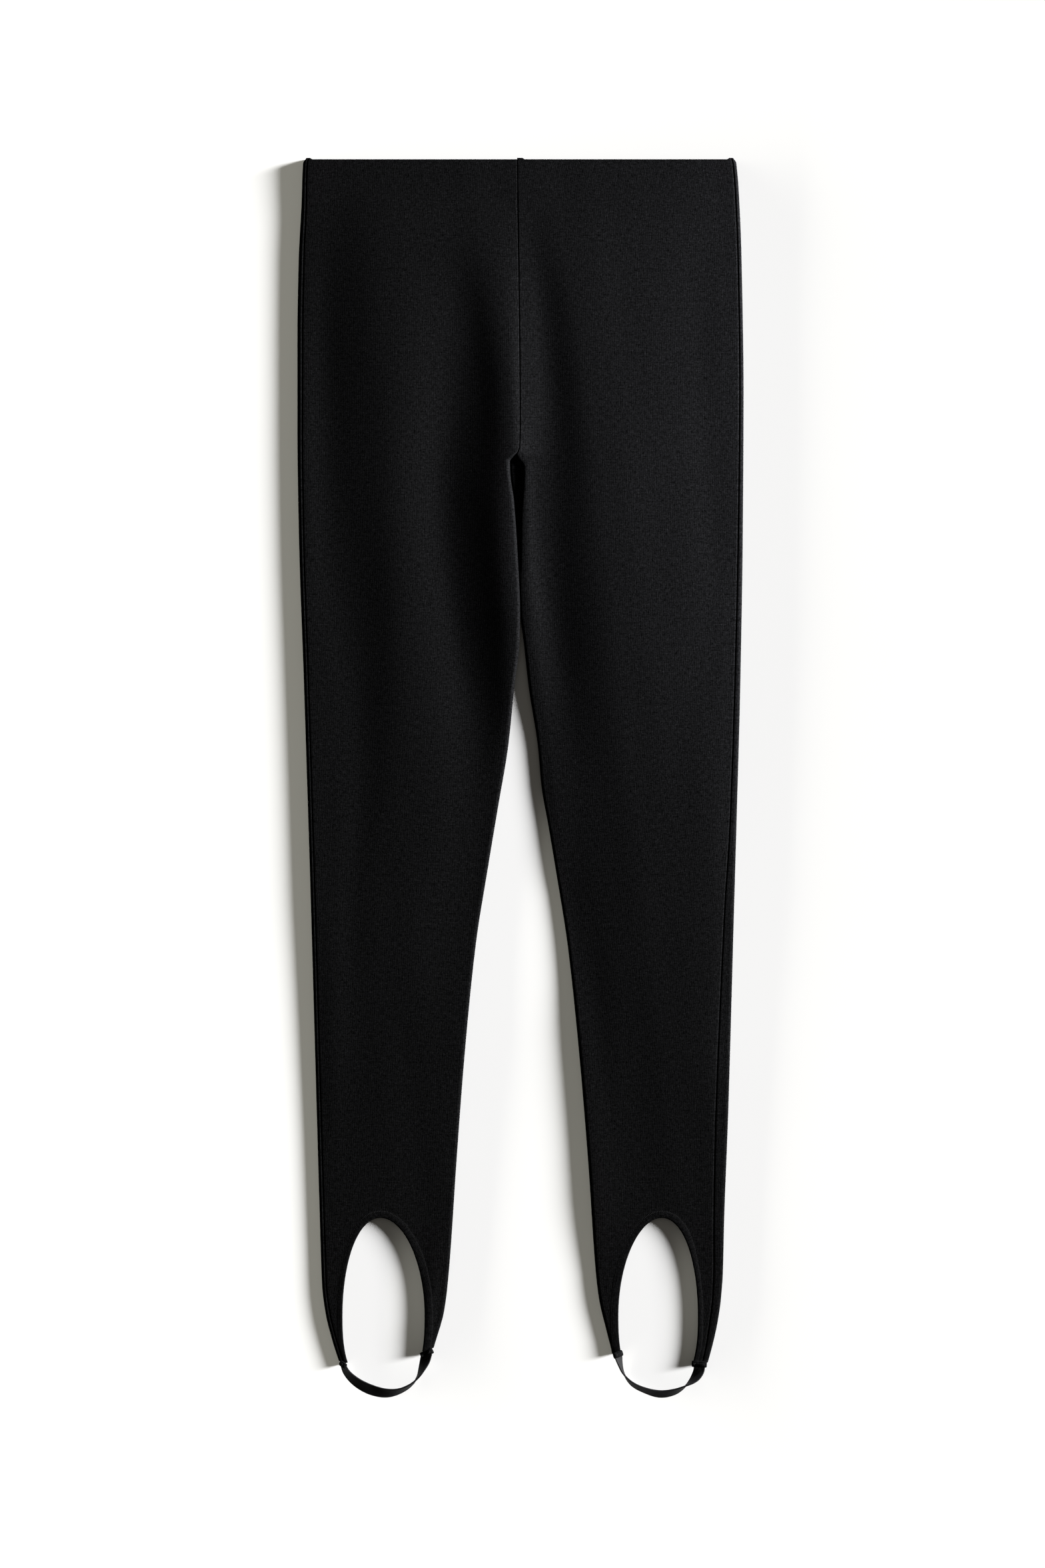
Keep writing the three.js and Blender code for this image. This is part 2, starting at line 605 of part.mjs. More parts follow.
// Everything below the hem of one leg: the oval, and the ground past the two points.
function hemCutter(name) {
  const [first, second] = seamsOf(name);
  const outline = new THREE.Shape();
  const besideBand = (seam, across) => {
    const along = seam.along / 2 + SEAM_GAP;
    const turn = seam.turn * DEG;
    const x = seam.x + across * Math.cos(turn) - along * Math.sin(turn);
    outline.lineTo(x, LENGTH / 2 - seam.down + across * Math.sin(turn) + along * Math.cos(turn));
  };
  const onBorder = (side, down) => outline.lineTo(ovalBorder(name, side, down), LENGTH / 2 - down);
  const lowest = -LENGTH / 2 - CUT.below;
  outline.moveTo(first.x - CUT.beyond, lowest);
  besideBand(first, -CUT.beyond);
  besideBand(first, bandHalf(first).wide - CUT.under);
  for (const ease of CUT.ease) onBorder(-1, first.down - ease);
  for (let i = 0; i <= OVAL.steps; i += 1) {
    const turn = mix(-90, 90, i / OVAL.steps) * DEG;
    onBorder(turn < 0 ? -1 : 1, OVAL.widest - OVAL.rise * Math.cos(turn));
  }
  for (const ease of CUT.ease.toReversed()) onBorder(1, second.down - ease);
  besideBand(second, CUT.under - bandHalf(second).wide);
  besideBand(second, CUT.beyond);
  outline.lineTo(second.x + CUT.beyond, lowest);
  const block = new THREE.ExtrudeGeometry(outline, { depth: CUT.high, bevelEnabled: false });
  block.translate(0, 0, -CUT.below);
  return toSolid(block);
}

// The folded and sewn end of a hem point, with rounded edges; "grow" makes the room that its strap leaves.
function strapSeamGeometry(seam, grow = 0) {
  const { bevel, points, square } = BAND;
  const half = { across: seam.across / 2 - bevel + grow, through: seam.through / 2 - bevel + grow };
  const squarer = (value) => Math.sign(value) * Math.abs(value) ** square;
  const outline = new THREE.Shape();
  for (let i = 0; i < points; i += 1) {
    const angle = (i / points) * 360 * DEG;
    const across = half.across * squarer(Math.cos(angle));
    const through = half.through * squarer(Math.sin(angle));
    if (i === 0) outline.moveTo(across, through);
    else outline.lineTo(across, through);
  }
  const depth = seam.along - 2 * bevel + 2 * grow;
  const block = new THREE.ExtrudeGeometry(outline, {
    depth,
    bevelThickness: bevel,
    bevelSize: bevel,
    bevelSegments: 2,
    curveSegments: 1,
  });
  block.translate(0, 0, -depth / 2);
  block.rotateX(90 * DEG);
  block.rotateY((towardLess(seam) ? seam.lean : -seam.lean) * DEG);
  return block;
}

function seamPlace(seam) {
  return new THREE.Vector3(seam.x, LENGTH / 2 - seam.down, bandHalf(seam).high);
}

// A flat elastic swept from one sewn end to the other along its middle line while it leans over.
function strapGeometry(name) {
  const [first, second] = seamsOf(name);
  const rest = (lean) => {
    const side = Math.abs(Math.cos(lean * DEG));
    return (STRAP.width * Math.sin(lean * DEG) + STRAP.thick * side) / 2;
  };
  const points = STRAPS[name].map((row) => ({
    place: new THREE.Vector3(row.x, LENGTH / 2 - row.down, rest(row.lean) + row.lift),
    lean: row.lean,
  }));
  points.unshift({ place: seamPlace(first), lean: first.lean });
  points.push({ place: seamPlace(second), lean: second.lean });
  const route = new THREE.CatmullRomCurve3(points.map((point) => point.place), false, "centripetal");
  const leans = points.map((point, i) => ({ down: i / (points.length - 1), lean: point.lean }));
  const leanAt = column(leans, "lean");
  const corners = [];
  for (let i = 0; i <= STRAP.steps; i += 1) {
    const share = i / STRAP.steps;
    const ahead = route.getTangent(share);
    const outward = new THREE.Vector3(ahead.y, -ahead.x, 0).normalize();
    const raised = outward.clone().cross(ahead).normalize();
    const lean = leanAt(share) * DEG;
    const across = outward.clone().multiplyScalar(Math.cos(lean)).addScaledVector(raised, Math.sin(lean));
    const through = ahead.clone().cross(across).normalize();
    for (const [a, t] of [[1, 1], [-1, 1], [-1, -1], [1, -1]]) {
      const corner = route.getPoint(share);
      corner.addScaledVector(across, (a * STRAP.width) / 2);
      corner.addScaledVector(through, (t * STRAP.thick) / 2);
      corners.push(...corner.toArray());
    }
  }
  const faces = [];
  for (let i = 0; i < STRAP.steps; i += 1) {
    for (let k = 0; k < 4; k += 1) {
      const a = 4 * i + k;
      const b = 4 * i + ((k + 1) % 4);
      faces.push(a, b, b + 4, a, b + 4, a + 4);
    }
  }
  const last = 4 * STRAP.steps;
  faces.push(0, 2, 1, 0, 3, 2, last, last + 1, last + 2, last, last + 2, last + 3);
  return closedGeometry(corners, faces);
}

function named(name, geometry, finish) {
  geometry.computeVertexNormals();
  const mesh = new THREE.Mesh(geometry, new THREE.MeshStandardMaterial(finish));
  mesh.name = name;
  return mesh;
}

const leggings = new THREE.Group();
for (const name of ["right", "left"]) {
  const hem = hemCutter(name);
  const front = toSolid(panelGeometry(name, frontLine, 1)).subtract(hem);
  leggings.add(named(`front_${name}`, toGeometry(front), FABRIC));
  const back = toSolid(panelGeometry(name, backLine, -1)).subtract(hem);
  leggings.add(named(`back_${name}`, toGeometry(back), FABRIC));

  let strap = toSolid(strapGeometry(name));
  for (const seam of seamsOf(name)) {
    const turned = new THREE.Matrix4().makeRotationZ(seam.turn * DEG).setPosition(seamPlace(seam));
    const room = strapSeamGeometry(seam, SEAM_GAP).applyMatrix4(turned);
    strap = strap.subtract(toSolid(room));

    const band = named(`strap_seam_${name}_${seam.at}`, strapSeamGeometry(seam), FABRIC);
    band.position.copy(seamPlace(seam));
    band.rotation.z = seam.turn * DEG;
    leggings.add(band);
  }
  const [longest] = strap.decompose().sort((a, b) => b.volume() - a.volume());
  leggings.add(named(`strap_${name}`, toGeometry(longest), ELASTIC));
}

export default leggings;
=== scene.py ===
# Black pull-on stirrup leggings laid flat on a pale floor, front up.
# Tables are in millimetres, and angles in degrees. "down" is the distance below the waist edge, and left
# and right are the wearer's.
from math import cos, pi, radians, sin, tau

import bpy
import numpy as np
from mathutils import Matrix, Vector


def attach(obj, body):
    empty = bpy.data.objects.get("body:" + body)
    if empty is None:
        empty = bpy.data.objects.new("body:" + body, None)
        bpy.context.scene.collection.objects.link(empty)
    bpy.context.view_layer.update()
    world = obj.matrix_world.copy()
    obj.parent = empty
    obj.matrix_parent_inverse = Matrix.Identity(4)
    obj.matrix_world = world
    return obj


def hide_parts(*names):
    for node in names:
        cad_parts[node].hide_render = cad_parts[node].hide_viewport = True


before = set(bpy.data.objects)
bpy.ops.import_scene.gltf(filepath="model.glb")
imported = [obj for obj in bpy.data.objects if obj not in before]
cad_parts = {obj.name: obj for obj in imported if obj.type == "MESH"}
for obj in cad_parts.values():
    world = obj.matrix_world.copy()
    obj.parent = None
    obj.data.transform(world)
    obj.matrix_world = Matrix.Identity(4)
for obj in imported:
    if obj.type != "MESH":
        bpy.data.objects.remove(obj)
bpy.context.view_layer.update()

MM = 0.001
LENGTH = 1050  # waist edge to the lowest point of the stirrup straps


def table(names, *rows):
    """Rows with named columns."""
    return [dict(zip(names.split(), row)) for row in rows]


# Cloth and seams
CLOTH = 1.3  # the knit, through its whole thickness
WAIST_TURN = 1.0  # what the turned-in waist with its elastic adds
WAIST_DEPTH = 32  # how deep the waist is turned in
WAIST_FADE = 3  # the thickness changes over this far to each side of that line
WAIST_POINT = 0.03  # the rounding of its edge stops this far from a point
# Small rises of the waist edge: how high and how deep, where they start from the outside edge, and where
# they end over a side seam and beside the centre seam
NUB = {"height": 1.2, "depth": 7, "start": (0.4, 1.6), "side": (4.6, 6.4), "centre": (4.6, 6.2)}
SEAM_SINK = {"right": 0.4, "left": 0.62}  # how far the cloth sinks into a side seam
SEAM_REACH = 0.6  # how far from the seam it starts to sink
SEAM_ROLL = 1.1  # radius of the cloth where it turns down into the centre seam
SEAM_DEPTH = 1.3  # how far it turns down there
SEAM_GAP = 0.05  # half the least gap between the front and the back panel there
EDGE_ROLL = 3  # half-width of the fold along the outside of a leg
EDGE_REACH = 15  # how far that fold shapes the cloth beside it
CROTCH = (246, 258)  # the front seam ends and the legs part in this stretch
HEM_LEVEL = 1026  # where the legs end, under the sewn ends of the straps

RIGHT_SIDE = table(
    "down x seam",
    (0, -182.9, 3.4), (4, -184.3, 3.4), (40, -185.7, 3.8), (85, -188, 4.2), (153, -189.1, 4.2),
    (225, -189.1, 4.0), (311, -188, 3.8), (446, -183.5, 3.6), (627, -177.8, 3.4), (808, -172.7, 3.4),
    (921, -169.4, 3.4), (954, -168.2, 3.4), (977, -165.4, 3.4), (1000, -159.8, 3.4),
    (HEM_LEVEL, -151.4, 3.4),
)
LEFT_SIDE = table(
    "down x seam",
    (0, 181.6, 3.3), (4, 183, 3.3), (40, 185.7, 3.4), (85, 187.4, 3.4), (198, 189.1, 3.6),
    (311, 188.5, 4.2), (446, 186.3, 5.0), (560, 183.2, 5.8), (640, 180.9, 8.4), (808, 176.1, 10.8),
    (898, 172.7, 9.0), (943, 171.6, 8.0), (966, 169.9, 7.4), (985, 167.2, 7.0), (1005, 162.8, 5.6),
    (HEM_LEVEL, 157, 4.6),
)
# The centre seam, which hooks over at the crotch and goes on as the inside of each leg. The legs share it
# down to TOUCH_END, and down to there the left leg has the narrower roll.
RIGHT_INSIDE = table(
    "down x roll",
    (0, -2.9, 4), (226, -0.8, 4), (244, -1.2, 4), (248, -2.6, 4), (252, -6.2, 4), (256, -9, 3.4),
    (268, -8.5, 3), (289, -5.6, 3), (338, -2.3, 3), (384, -0.4, 3), (408, -0.8, 3), (446, -5.1, 3),
    (497, -10.4, 3), (548, -18.9, 3), (599, -27.4, 3), (667, -38.1, 3), (763, -47.7, 3), (853, -54.5, 3),
    (921, -59, 3), (954, -61.8, 3), (977, -64.9, 3), (1000, -71.4, 3), (HEM_LEVEL, -79.6, 3),
)
TOUCH_END = 384  # the thighs touch down to here
LEFT_ROLL = 2.3
LEFT_INSIDE = [dict(row, roll=LEFT_ROLL) for row in RIGHT_INSIDE if row["down"] <= TOUCH_END] + table(
    "down x roll",
    (408, 2.6, 2.6), (446, 6.8, 3), (497, 14.7, 3), (531, 17.8, 3), (565, 23.7, 3), (599, 29.4, 3),
    (667, 40.1, 3), (763, 50.2, 3), (853, 57.6, 3), (943, 63.8, 3), (966, 66.6, 3), (988, 71.7, 3),
    (HEM_LEVEL, 81.6, 3),
)
# Height of the two layers without their folds, in the middle of a leg and at its outside edge
HEIGHT = table(
    "down middle edge",
    (0, 6.2, 6.2), (60, 4.9, 5.2), (150, 4.6, 4.9), (600, 4.7, 4.8), (720, 4.6, 4.1), (850, 3.7, 3.5),
    (950, 3.5, 3.4), (HEM_LEVEL, 3.4, 3.4),
)
# Soft folds down the legs: x of the crest or trough, its rise, and how far it reaches to each side.
# Above the crotch a fold runs across both legs, and below it only on the leg that is named with it.
FOLDS = {
    "crest along the seam and then the inside of the right thigh": ("right", table(
        "down x rise minus plus",
        (30, -24, 0, 32, 20), (70, -23, 2.7, 37.5, 26.5), (105, -19, 3.8, 29, 25),
        (150, -13.5, 4.3, 25, 23), (200, -7, 5, 27, 19.5), (240, -5.5, 5.8, 30.5, 15.5),
        (262, -7.5, 6.2, 31, 14), (290, -11, 6.2, 28, 15.5), (320, -11, 6.1, 25.5, 17.5),
        (375, -8, 5.5, 23, 19), (410, -6, 4.3, 20.5, 16), (450, -6, 2.7, 16.5, 13.5),
        (485, -10, 1.2, 13, 12.5), (530, -22, 0, 13, 12), (610, -34, -0.7, 11, 12),
        (700, -38, -0.4, 12, 12), (800, -38, 0, 12, 12),
    )),
    "trough beyond the right crest": ("right", table(
        "down x rise minus plus",
        (60, -60, 0, 22, 18), (150, -60.5, -0.4, 21.5, 13), (200, -60.5, -0.9, 20.5, 15),
        (240, -63, -1.2, 20, 19.5), (262, -66.5, -1.1, 18, 20.5), (320, -65.5, -1.1, 17, 16),
        (375, -58.5, -1.3, 15.5, 16.5), (410, -53.5, -1.6, 16.5, 18.5), (450, -47.5, -1.7, 17.5, 19.5),
        (520, -41.5, -1.1, 20, 20), (600, -49, -1.2, 23, 17), (680, -55, -0.8, 23, 17.5),
        (760, -59, 0.2, 22.5, 16), (840, -64, 0.2, 20, 15), (900, -66, 0, 20, 15),
    )),
    "swell down the middle of the right leg": ("right", table(
        "down x rise minus plus",
        (20, -112, 0, 42, 46), (60, -108.5, 2.9, 52, 52.5), (105, -107, 3.6, 49.5, 46.5),
        (150, -106.5, 3.8, 46, 41), (200, -107, 3.4, 40.5, 34.5), (240, -108.5, 3, 36, 31),
        (290, -109, 2.6, 28.5, 29.5), (320, -107.5, 2.6, 26, 31), (375, -102.5, 2.7, 23.5, 35),
        (450, -97.5, 2.3, 23, 34), (485, -95, 1.7, 24, 31.5), (520, -93.5, 1, 25.5, 29),
        (600, -97, 0, 30, 30), (700, -98, -0.2, 30, 30), (900, -112, 0, 28, 28),
    )),
    "long trough down the outside of the right leg": ("right", table(
        "down x rise minus plus",
        (30, -168, 0, 8, 10), (105, -166.5, -0.6, 10, 13.5), (200, -163, -1, 14, 19.5),
        (240, -161.5, -1.1, 15.5, 22), (290, -162, -1.1, 13, 25.5), (350, -161, -0.9, 12.5, 25),
        (410, -150.5, -0.6, 16, 25.5), (450, -139.5, -0.6, 19.5, 21.5), (520, -135.5, -0.9, 15, 18.5),
        (560, -137.5, -0.9, 12, 13.5), (640, -141.5, -0.9, 12, 16.5), (720, -142.5, -0.5, 12, 21),
        (800, -143, -0.2, 12, 15), (880, -150, 0, 12, 12),
    )),
    "crest along the inside of the left thigh": ("left", table(
        "down x rise minus plus",
        (40, 3, 0, 6, 10), (105, 0.5, -0.4, 5, 14.5), (150, 1, -0.9, 5, 16), (200, 1.5, -1.4, 5, 14.5),
        (240, 2.5, -1.2, 5, 11.5), (262, 4, 0.9, 5, 6.5), (290, 5, 0.9, 5.5, 5), (320, 5.5, 1.2, 7, 6),
        (350, 5.5, 1.4, 8.5, 7.5), (375, 7.5, 1.4, 9.5, 9), (410, 11.5, 1.2, 9, 12),
        (450, 18.5, 1.3, 9.5, 16), (485, 24.5, 1.4, 11.5, 17.5), (520, 28, 1.4, 11, 17.5),
        (560, 32, 1, 10, 16), (620, 36, 0, 8, 13),
    )),
    "trough beyond the left crest": ("left", table(
        "down x rise minus plus",
        (40, 8, 0, 9, 12), (105, 17, -0.5, 8, 12), (150, 20, -1.1, 10, 14), (200, 23, -1.5, 11.5, 15.5),
        (240, 24.5, -1.5, 14, 17), (262, 23.5, -1.6, 16.5, 18.5), (320, 24.5, -1.8, 15.5, 17.5),
        (375, 26.5, -1.9, 16, 18), (410, 28, -2, 19, 19), (450, 26.5, -2.4, 24.5, 22.5),
        (485, 25.5, -2.8, 25, 25.5), (520, 25.5, -2.7, 22.5, 25.5), (560, 28, -2.4, 19, 25),
        (600, 33.5, -2, 16.5, 23), (640, 41, -1.8, 17, 20.5), (680, 48.5, -1.4, 18.5, 17),
        (740, 56, 0, 14, 14), (800, 61, 0.8, 13, 13), (870, 64, 1.2, 12, 16), (940, 66, 0, 12, 16),
    )),
    "swell down the middle of the left leg": ("left", table(
        "down x rise minus plus",
        (30, 38, 0, 18, 60), (70, 37, 1.5, 23.5, 60), (105, 44.5, 2, 21.5, 55.5),
        (150, 52.5, 1.7, 18.5, 51.5), (200, 59, 1.9, 18, 54), (240, 64, 2.3, 20.5, 64.5),
        (290, 69.5, 2.7, 25, 75), (320, 72.5, 2.9, 27.5, 75), (375, 81, 3.2, 33.5, 75),
        (410, 86, 3, 34.5, 75), (450, 91, 2.6, 33.5, 75), (520, 95.5, 2.1, 29.5, 72.5),
        (600, 109, 1.8, 38, 61.5), (680, 123, 1.2, 36, 52), (760, 128, 0.8, 25.5, 44.5),
        (840, 121, 0.2, 24, 35), (900, 120, 0, 24, 32),
    )),
    "faint trough down the outside of the left leg": ("left", table(
        "down x rise minus plus",
        (40, 159, 0, 13, 7), (105, 156, -0.4, 18, 11), (200, 155, -0.5, 15, 15),
        (290, 160, -0.6, 13.5, 12.5), (375, 163, -0.2, 9.5, 9), (440, 160, 0, 8, 9),
        (500, 153, 0.5, 17, 16), (560, 154, 0.7, 19, 20), (640, 153, 0.2, 15, 13),
        (700, 154, 0, 12, 10),
    )),
    "bend inside the right ankle": ("right", table(
        "down x rise minus plus",
        (900, -70, 0, 8, 8), (945, -74, 0.6, 7, 6), (985, -77, 0.8, 5, 5), (1010, -81, 0.3, 5, 5),
    )),
    "bend inside the left ankle": ("left", table(
        "down x rise minus plus",
        (600, 64, 0, 12, 12), (740, 66, -0.5, 10, 12), (860, 69, -0.3, 9, 10), (930, 74, 0, 8, 8),
    )),
}
# The dark hollow under the crotch: the left leg's cloth drops from its crest to a floor beside the right
# leg. "wall" is x of the top of the drop, "width" how wide the drop is, and "floor" its lowest height.
HOLLOW = table(
    "down wall width floor",
    (249, -3, 2, 4.6), (254, -1, 2.4, 3.2), (259, 3, 3, 2.8), (268, 3.6, 3.4, 2.8), (284, 2.6, 3.6, 2.8),
    (305, 1.2, 3.2, 2.8), (335, 0.9, 2.6, 3), (373, 0.6, 2, 3.5), (401, 1.6, 2, 4), (430, 6, 6, 4.6),
)

# The oval opening over the foot: a half ellipse above its widest place and a squarer curve below
OVAL = {"widest": 980, "rise": 83, "fall": 63, "square": 2.6}
OVALS = {
    "right": {"x": -116.1, "half": 34.8, "lean": -2.6},
    "left": {"x": 116.7, "half": 33.7, "lean": 3},
}
HEM_WIDE = 7  # the turned hem on the inner side of the foot
HEM_NARROW = 4.4  # and on the outer side, where it rolls under
HEM_TOP = 6.3  # and over the foot, above the first of the next two levels
HEM_CHANGE = (900, 940)
HEM_LIFT = 0.22  # how far the doubled cloth stands over the panel
HEM_THICK = 1.9
HEM_START = 1.5  # the hem starts this far above the middle of each sewn end

# The sewn ends of the straps: their middles, their sizes, and how they lean up and turn on the floor
SEWN_ENDS = table(
    "leg at x down across along through lean turn",
    ("right", "outer", -150.3, 1021, 10, 4.6, 4.2, 116, -24),
    ("right", "inner", -79.4, 1011.4, 12, 5, 4.6, 16, 27),
    ("left", "inner", 82.6, 1012.4, 10.6, 5, 4.2, 44, 16),
    ("left", "outer", 151.5, 1020.8, 13, 5.4, 4.8, 8, -2),
)
BAND_OVERLAP = 2.6  # the legs' cut under a sewn end stops this far from the side that faces the opening
STRAP_WIDTH = 9.8
STRAP_THICK = 1.5
# The straps' middle lines, from smaller to greater x, with their lean and how far they lift off the floor
STRAPS = {
    "right": table(
        "x down lean lift",
        (-147, 1028, 130, 0.1), (-139.4, 1035.7, 147, 0.1), (-127.6, 1042.3, 160, 0.1),
        (-114.3, 1045.3, 147, 0.1), (-102.4, 1043.4, 121, 0.1), (-93, 1038.3, 104, 0.1),
        (-87.4, 1032.2, 86, 0.1), (-83.6, 1024.6, 58, 0.4), (-80.8, 1017.4, 28, 1.2),
    ),
    "left": table(
        "x down lean lift",
        (84.2, 1019.6, 66, 0.4), (87.4, 1028.6, 88, 0.2), (94.6, 1037.3, 111, 0.1),
        (105.6, 1042.9, 122, 0.1), (118.6, 1046, 134, 0.1), (130.8, 1044, 124, 0.1),
        (140.8, 1038.4, 92, 0.1), (148, 1032, 46, 0.6), (151.2, 1026, 18, 1.4),
    ),
}

# The needle marks along the hems, and the tacks over the sewn ends
TICK_PITCH = 1.0
TICK_INSET = 0.5  # from the hem's outer line to the needle marks
TICK_SUNK = {"front": 0.1, "back": 0.05}  # how deep they lie in the hem
TICK_DIP = -0.22  # the marks dip into the cloth at their outer ends
TICK_END = 3  # the marks stop this far above the higher sewn end
TACKS = 13  # in one row over a sewn end
TACK_REACH = 0.34  # how far that row reaches to each side, as a share of the sewn end's width
TACK_SLANT = 0.175

# The photograph's frame: its height in pixels, and the place of its middle on the garment
PHOTO = {"height": 2353, "mm_per_pixel": 0.5645, "middle_x": 1.7, "middle_down": 529.2}
CAMERA_HEIGHT = 4.0  # in metres, over the cloth
CLOTH_HEIGHT = 0.005  # in metres

# Smooth tables


def column(rows, name):
    """A smooth curve through one column of a table, with no overshoot between its rows."""
    at = np.array([row["down"] for row in rows], float)
    value = np.array([row[name] for row in rows], float)
    slope = np.diff(value) / np.diff(at)
    before = np.concatenate([slope[:1], slope])
    after = np.concatenate([slope, slope[-1:]])
    total = np.where(before * after > 0, before + after, 1)
    tangent = np.where(before * after > 0, 2 * before * after / total, 0)

    def curve(down):
        down = np.clip(down, at[0], at[-1])
        i = np.clip(np.searchsorted(at, down, side="right") - 1, 0, len(at) - 2)
        width = at[i + 1] - at[i]
        t = (down - at[i]) / width
        return (
            value[i] * (1 + 2 * t) * (1 - t) ** 2
            + tangent[i] * width * t * (1 - t) ** 2
            + value[i + 1] * t * t * (3 - 2 * t)
            + tangent[i + 1] * width * t * t * (t - 1)
        )

    return curve


def step(start, end, value):
    """0 before the start and 1 beyond the end, smooth between them."""
    t = np.clip((value - start) / (end - start), 0, 1)
    return t * t * (3 - 2 * t)


def mix(a, b, share):
    return a + (b - a) * share


class Leg:
    """The curves that shape one leg."""

    def __init__(self, name, inward, side, inside):
        self.name = name
        self.inward = inward
        self.outer = column(side, "x")
        self.seam = column(side, "seam")
        self.inner = column(inside, "x")
        self.roll = column(inside, "roll")


LEGS = {
    "right": Leg("right", 1, RIGHT_SIDE, RIGHT_INSIDE),
    "left": Leg("left", -1, LEFT_SIDE, LEFT_INSIDE),
}
middle_height = column(HEIGHT, "middle")
edge_height = column(HEIGHT, "edge")
hollow_wall = column(HOLLOW, "wall")
hollow_width = column(HOLLOW, "width")
hollow_floor = column(HOLLOW, "floor")
folds = [
    (owner, *(column(rows, name) for name in ("x", "rise", "minus", "plus")))
    for owner, rows in FOLDS.values()
]


def wall_at(down):
    """Thickness of the cloth, with the turned waist."""
    return CLOTH + WAIST_TURN * (1 - step(WAIST_DEPTH - WAIST_FADE, WAIST_DEPTH + WAIST_FADE, down))


def parted_at(down):
    """0 above the crotch and 1 below it."""
    return step(*CROTCH, down)


def ripple(x, down):
    """Low unevenness of cloth that was smoothed out by hand."""
    waves = table(
        "deep across along shift",
        (0.07, 62, 410, 0.4), (0.05, -47, 330, 2.1), (0.03, 33, -260, 4.0),
    )
    return sum(w["deep"] * np.sin(tau * (x / w["across"] + down / w["along"]) + w["shift"]) for w in waves)


def surface(leg, inset, down):
    """Height of the upper outer surface, in from the outside edge of a leg by inset."""
    x = leg.outer(down) + leg.inward * inset
    parted = parted_at(down)
    z = middle_height(down)
    for owner, x_at, rise, minus, plus in folds:
        offset = x - x_at(down)
        reach = np.where(offset < 0, minus(down), plus(down))
        share = 1 if owner == leg.name else 1 - parted
        z = z + share * rise(down) * np.exp(-((offset / reach) ** 2))
    if leg.name == "left":
        inside = 1 - step(hollow_wall(down) - hollow_width(down), hollow_wall(down), x)
        z = mix(z, np.minimum(z, hollow_floor(down)), inside * parted)
    z = z + ripple(x, down)
    from_edge = step(0, EDGE_REACH, inset - EDGE_ROLL)
    from_seam = (inset - leg.seam(down)) / SEAM_REACH
    return mix(edge_height(down), z, from_edge) - SEAM_SINK[leg.name] * np.exp(-(from_seam**2))


def inside_fold(leg, down):
    """The fold along the inside of a leg, or above the crotch the cloth's turn into the centre seam."""
    parted = parted_at(down)
    width = np.abs(leg.inner(down) - leg.outer(down))
    across = mix(SEAM_ROLL, leg.roll(down), parted)
    start = width - across
    top = surface(leg, start, down)
    seam_half = np.minimum(SEAM_DEPTH, top / 2 - wall_at(down) - SEAM_GAP)
    half = mix(seam_half, top / 2, parted)
    return start, across, half, top


def spread(start, end, near_start, near_end, middle):
    """Insets from start to end, close together at both ends."""
    first = start[:, None] + np.array(near_start)[None, :]
    last = end[:, None] - np.array(near_end)[None, ::-1]
    share = np.linspace(0, 1, middle + 2)[None, 1:-1]
    between = mix(first[:, -1:], last[:, :1], share)
    return np.concatenate([first, between, last], axis=1)


# Insets from a side seam, and from the fold along the inside, at which a panel has its points
NEAR_SEAM = (0, 0.18, 0.38, 0.62, 0.95, 1.4, 2.1, 3.1, 4.5, 6.2, 8.4, 11)
NEAR_FOLD = (0, 0.5, 1, 1.6, 2.3, 3.1, 4, 5, 6.1, 7.3, 8.6, 10, 11.5, 13.1, 15, 17.2, 20)
ROLL_ANGLES = np.linspace(90, 0, 11)[1:]
POINTS = {"front": 34, "over": 14, "round": 19, "under": 26}  # across the other stretches of a panel


def rolled(fold, down, face):
    """The fold's outer points and inward directions. Above the crotch the cloth stands in the seam."""
    start, across, half, top = (value[:, None] for value in fold)
    turn = np.radians(ROLL_ANGLES)[None, :]
    rise = half * np.sin(turn)
    z = top - half + rise if face == "front" else half - rise
    sign = -1 if face == "front" else 1
    parted = parted_at(down)[:, None]
    normal_x = -np.cos(turn) / across * parted
    normal_z = sign * mix(1 / half, np.sin(turn) / half, parted)
    run = np.hypot(normal_x, normal_z)
    return start + across * np.cos(turn), z, normal_x / run, normal_z / run


def level(like, direction):
    """Inward directions for a level stretch."""
    return np.zeros_like(like), np.full_like(like, direction)


def front_line(leg, down):
    """The front panel's outer points and inward directions, from the side seam to the middle or inseam."""
    fold = inside_fold(leg, down)
    inset = spread(leg.seam(down), fold[0], NEAR_SEAM, NEAR_FOLD, POINTS["front"])
    z = surface(leg, inset, down[:, None])
    parts = [(inset, z, *level(inset, -1)), rolled(fold, down, "front")]
    return [np.concatenate(part, axis=1) for part in zip(*parts)]


def back_line(leg, down):
    """The same for the back panel, from the side seam out round the edge and along the floor."""
    fold = inside_fold(leg, down)
    seam = leg.seam(down)[:, None]
    over = mix(seam, EDGE_ROLL, np.linspace(0, 1, POINTS["over"])[None, :-1])
    over_z = surface(leg, over, down[:, None])
    turn = np.radians(np.linspace(90, 270, POINTS["round"]))[None, :]
    half = edge_height(down)[:, None] / 2
    wrap = EDGE_ROLL * (1 + np.cos(turn)) + 0 * half
    near_seam = np.exp(-(((wrap - seam) / SEAM_REACH) ** 2))
    sink = SEAM_SINK[leg.name] * near_seam * np.clip(np.sin(turn), 0, 1)
    wrap_z = half * (1 + np.sin(turn)) - sink
    flat = mix(EDGE_ROLL, fold[0][:, None], np.linspace(0, 1, POINTS["under"])[None, 1:])
    parts = [
        (over, over_z, *level(over, -1)),
        (wrap, wrap_z, -np.cos(turn) + 0 * half, -np.sin(turn) + 0 * half),
        (flat, 0 * flat, *level(flat, 1)),
        rolled(fold, down, "back"),
    ]
    return [np.concatenate(part, axis=1) for part in zip(*parts)]


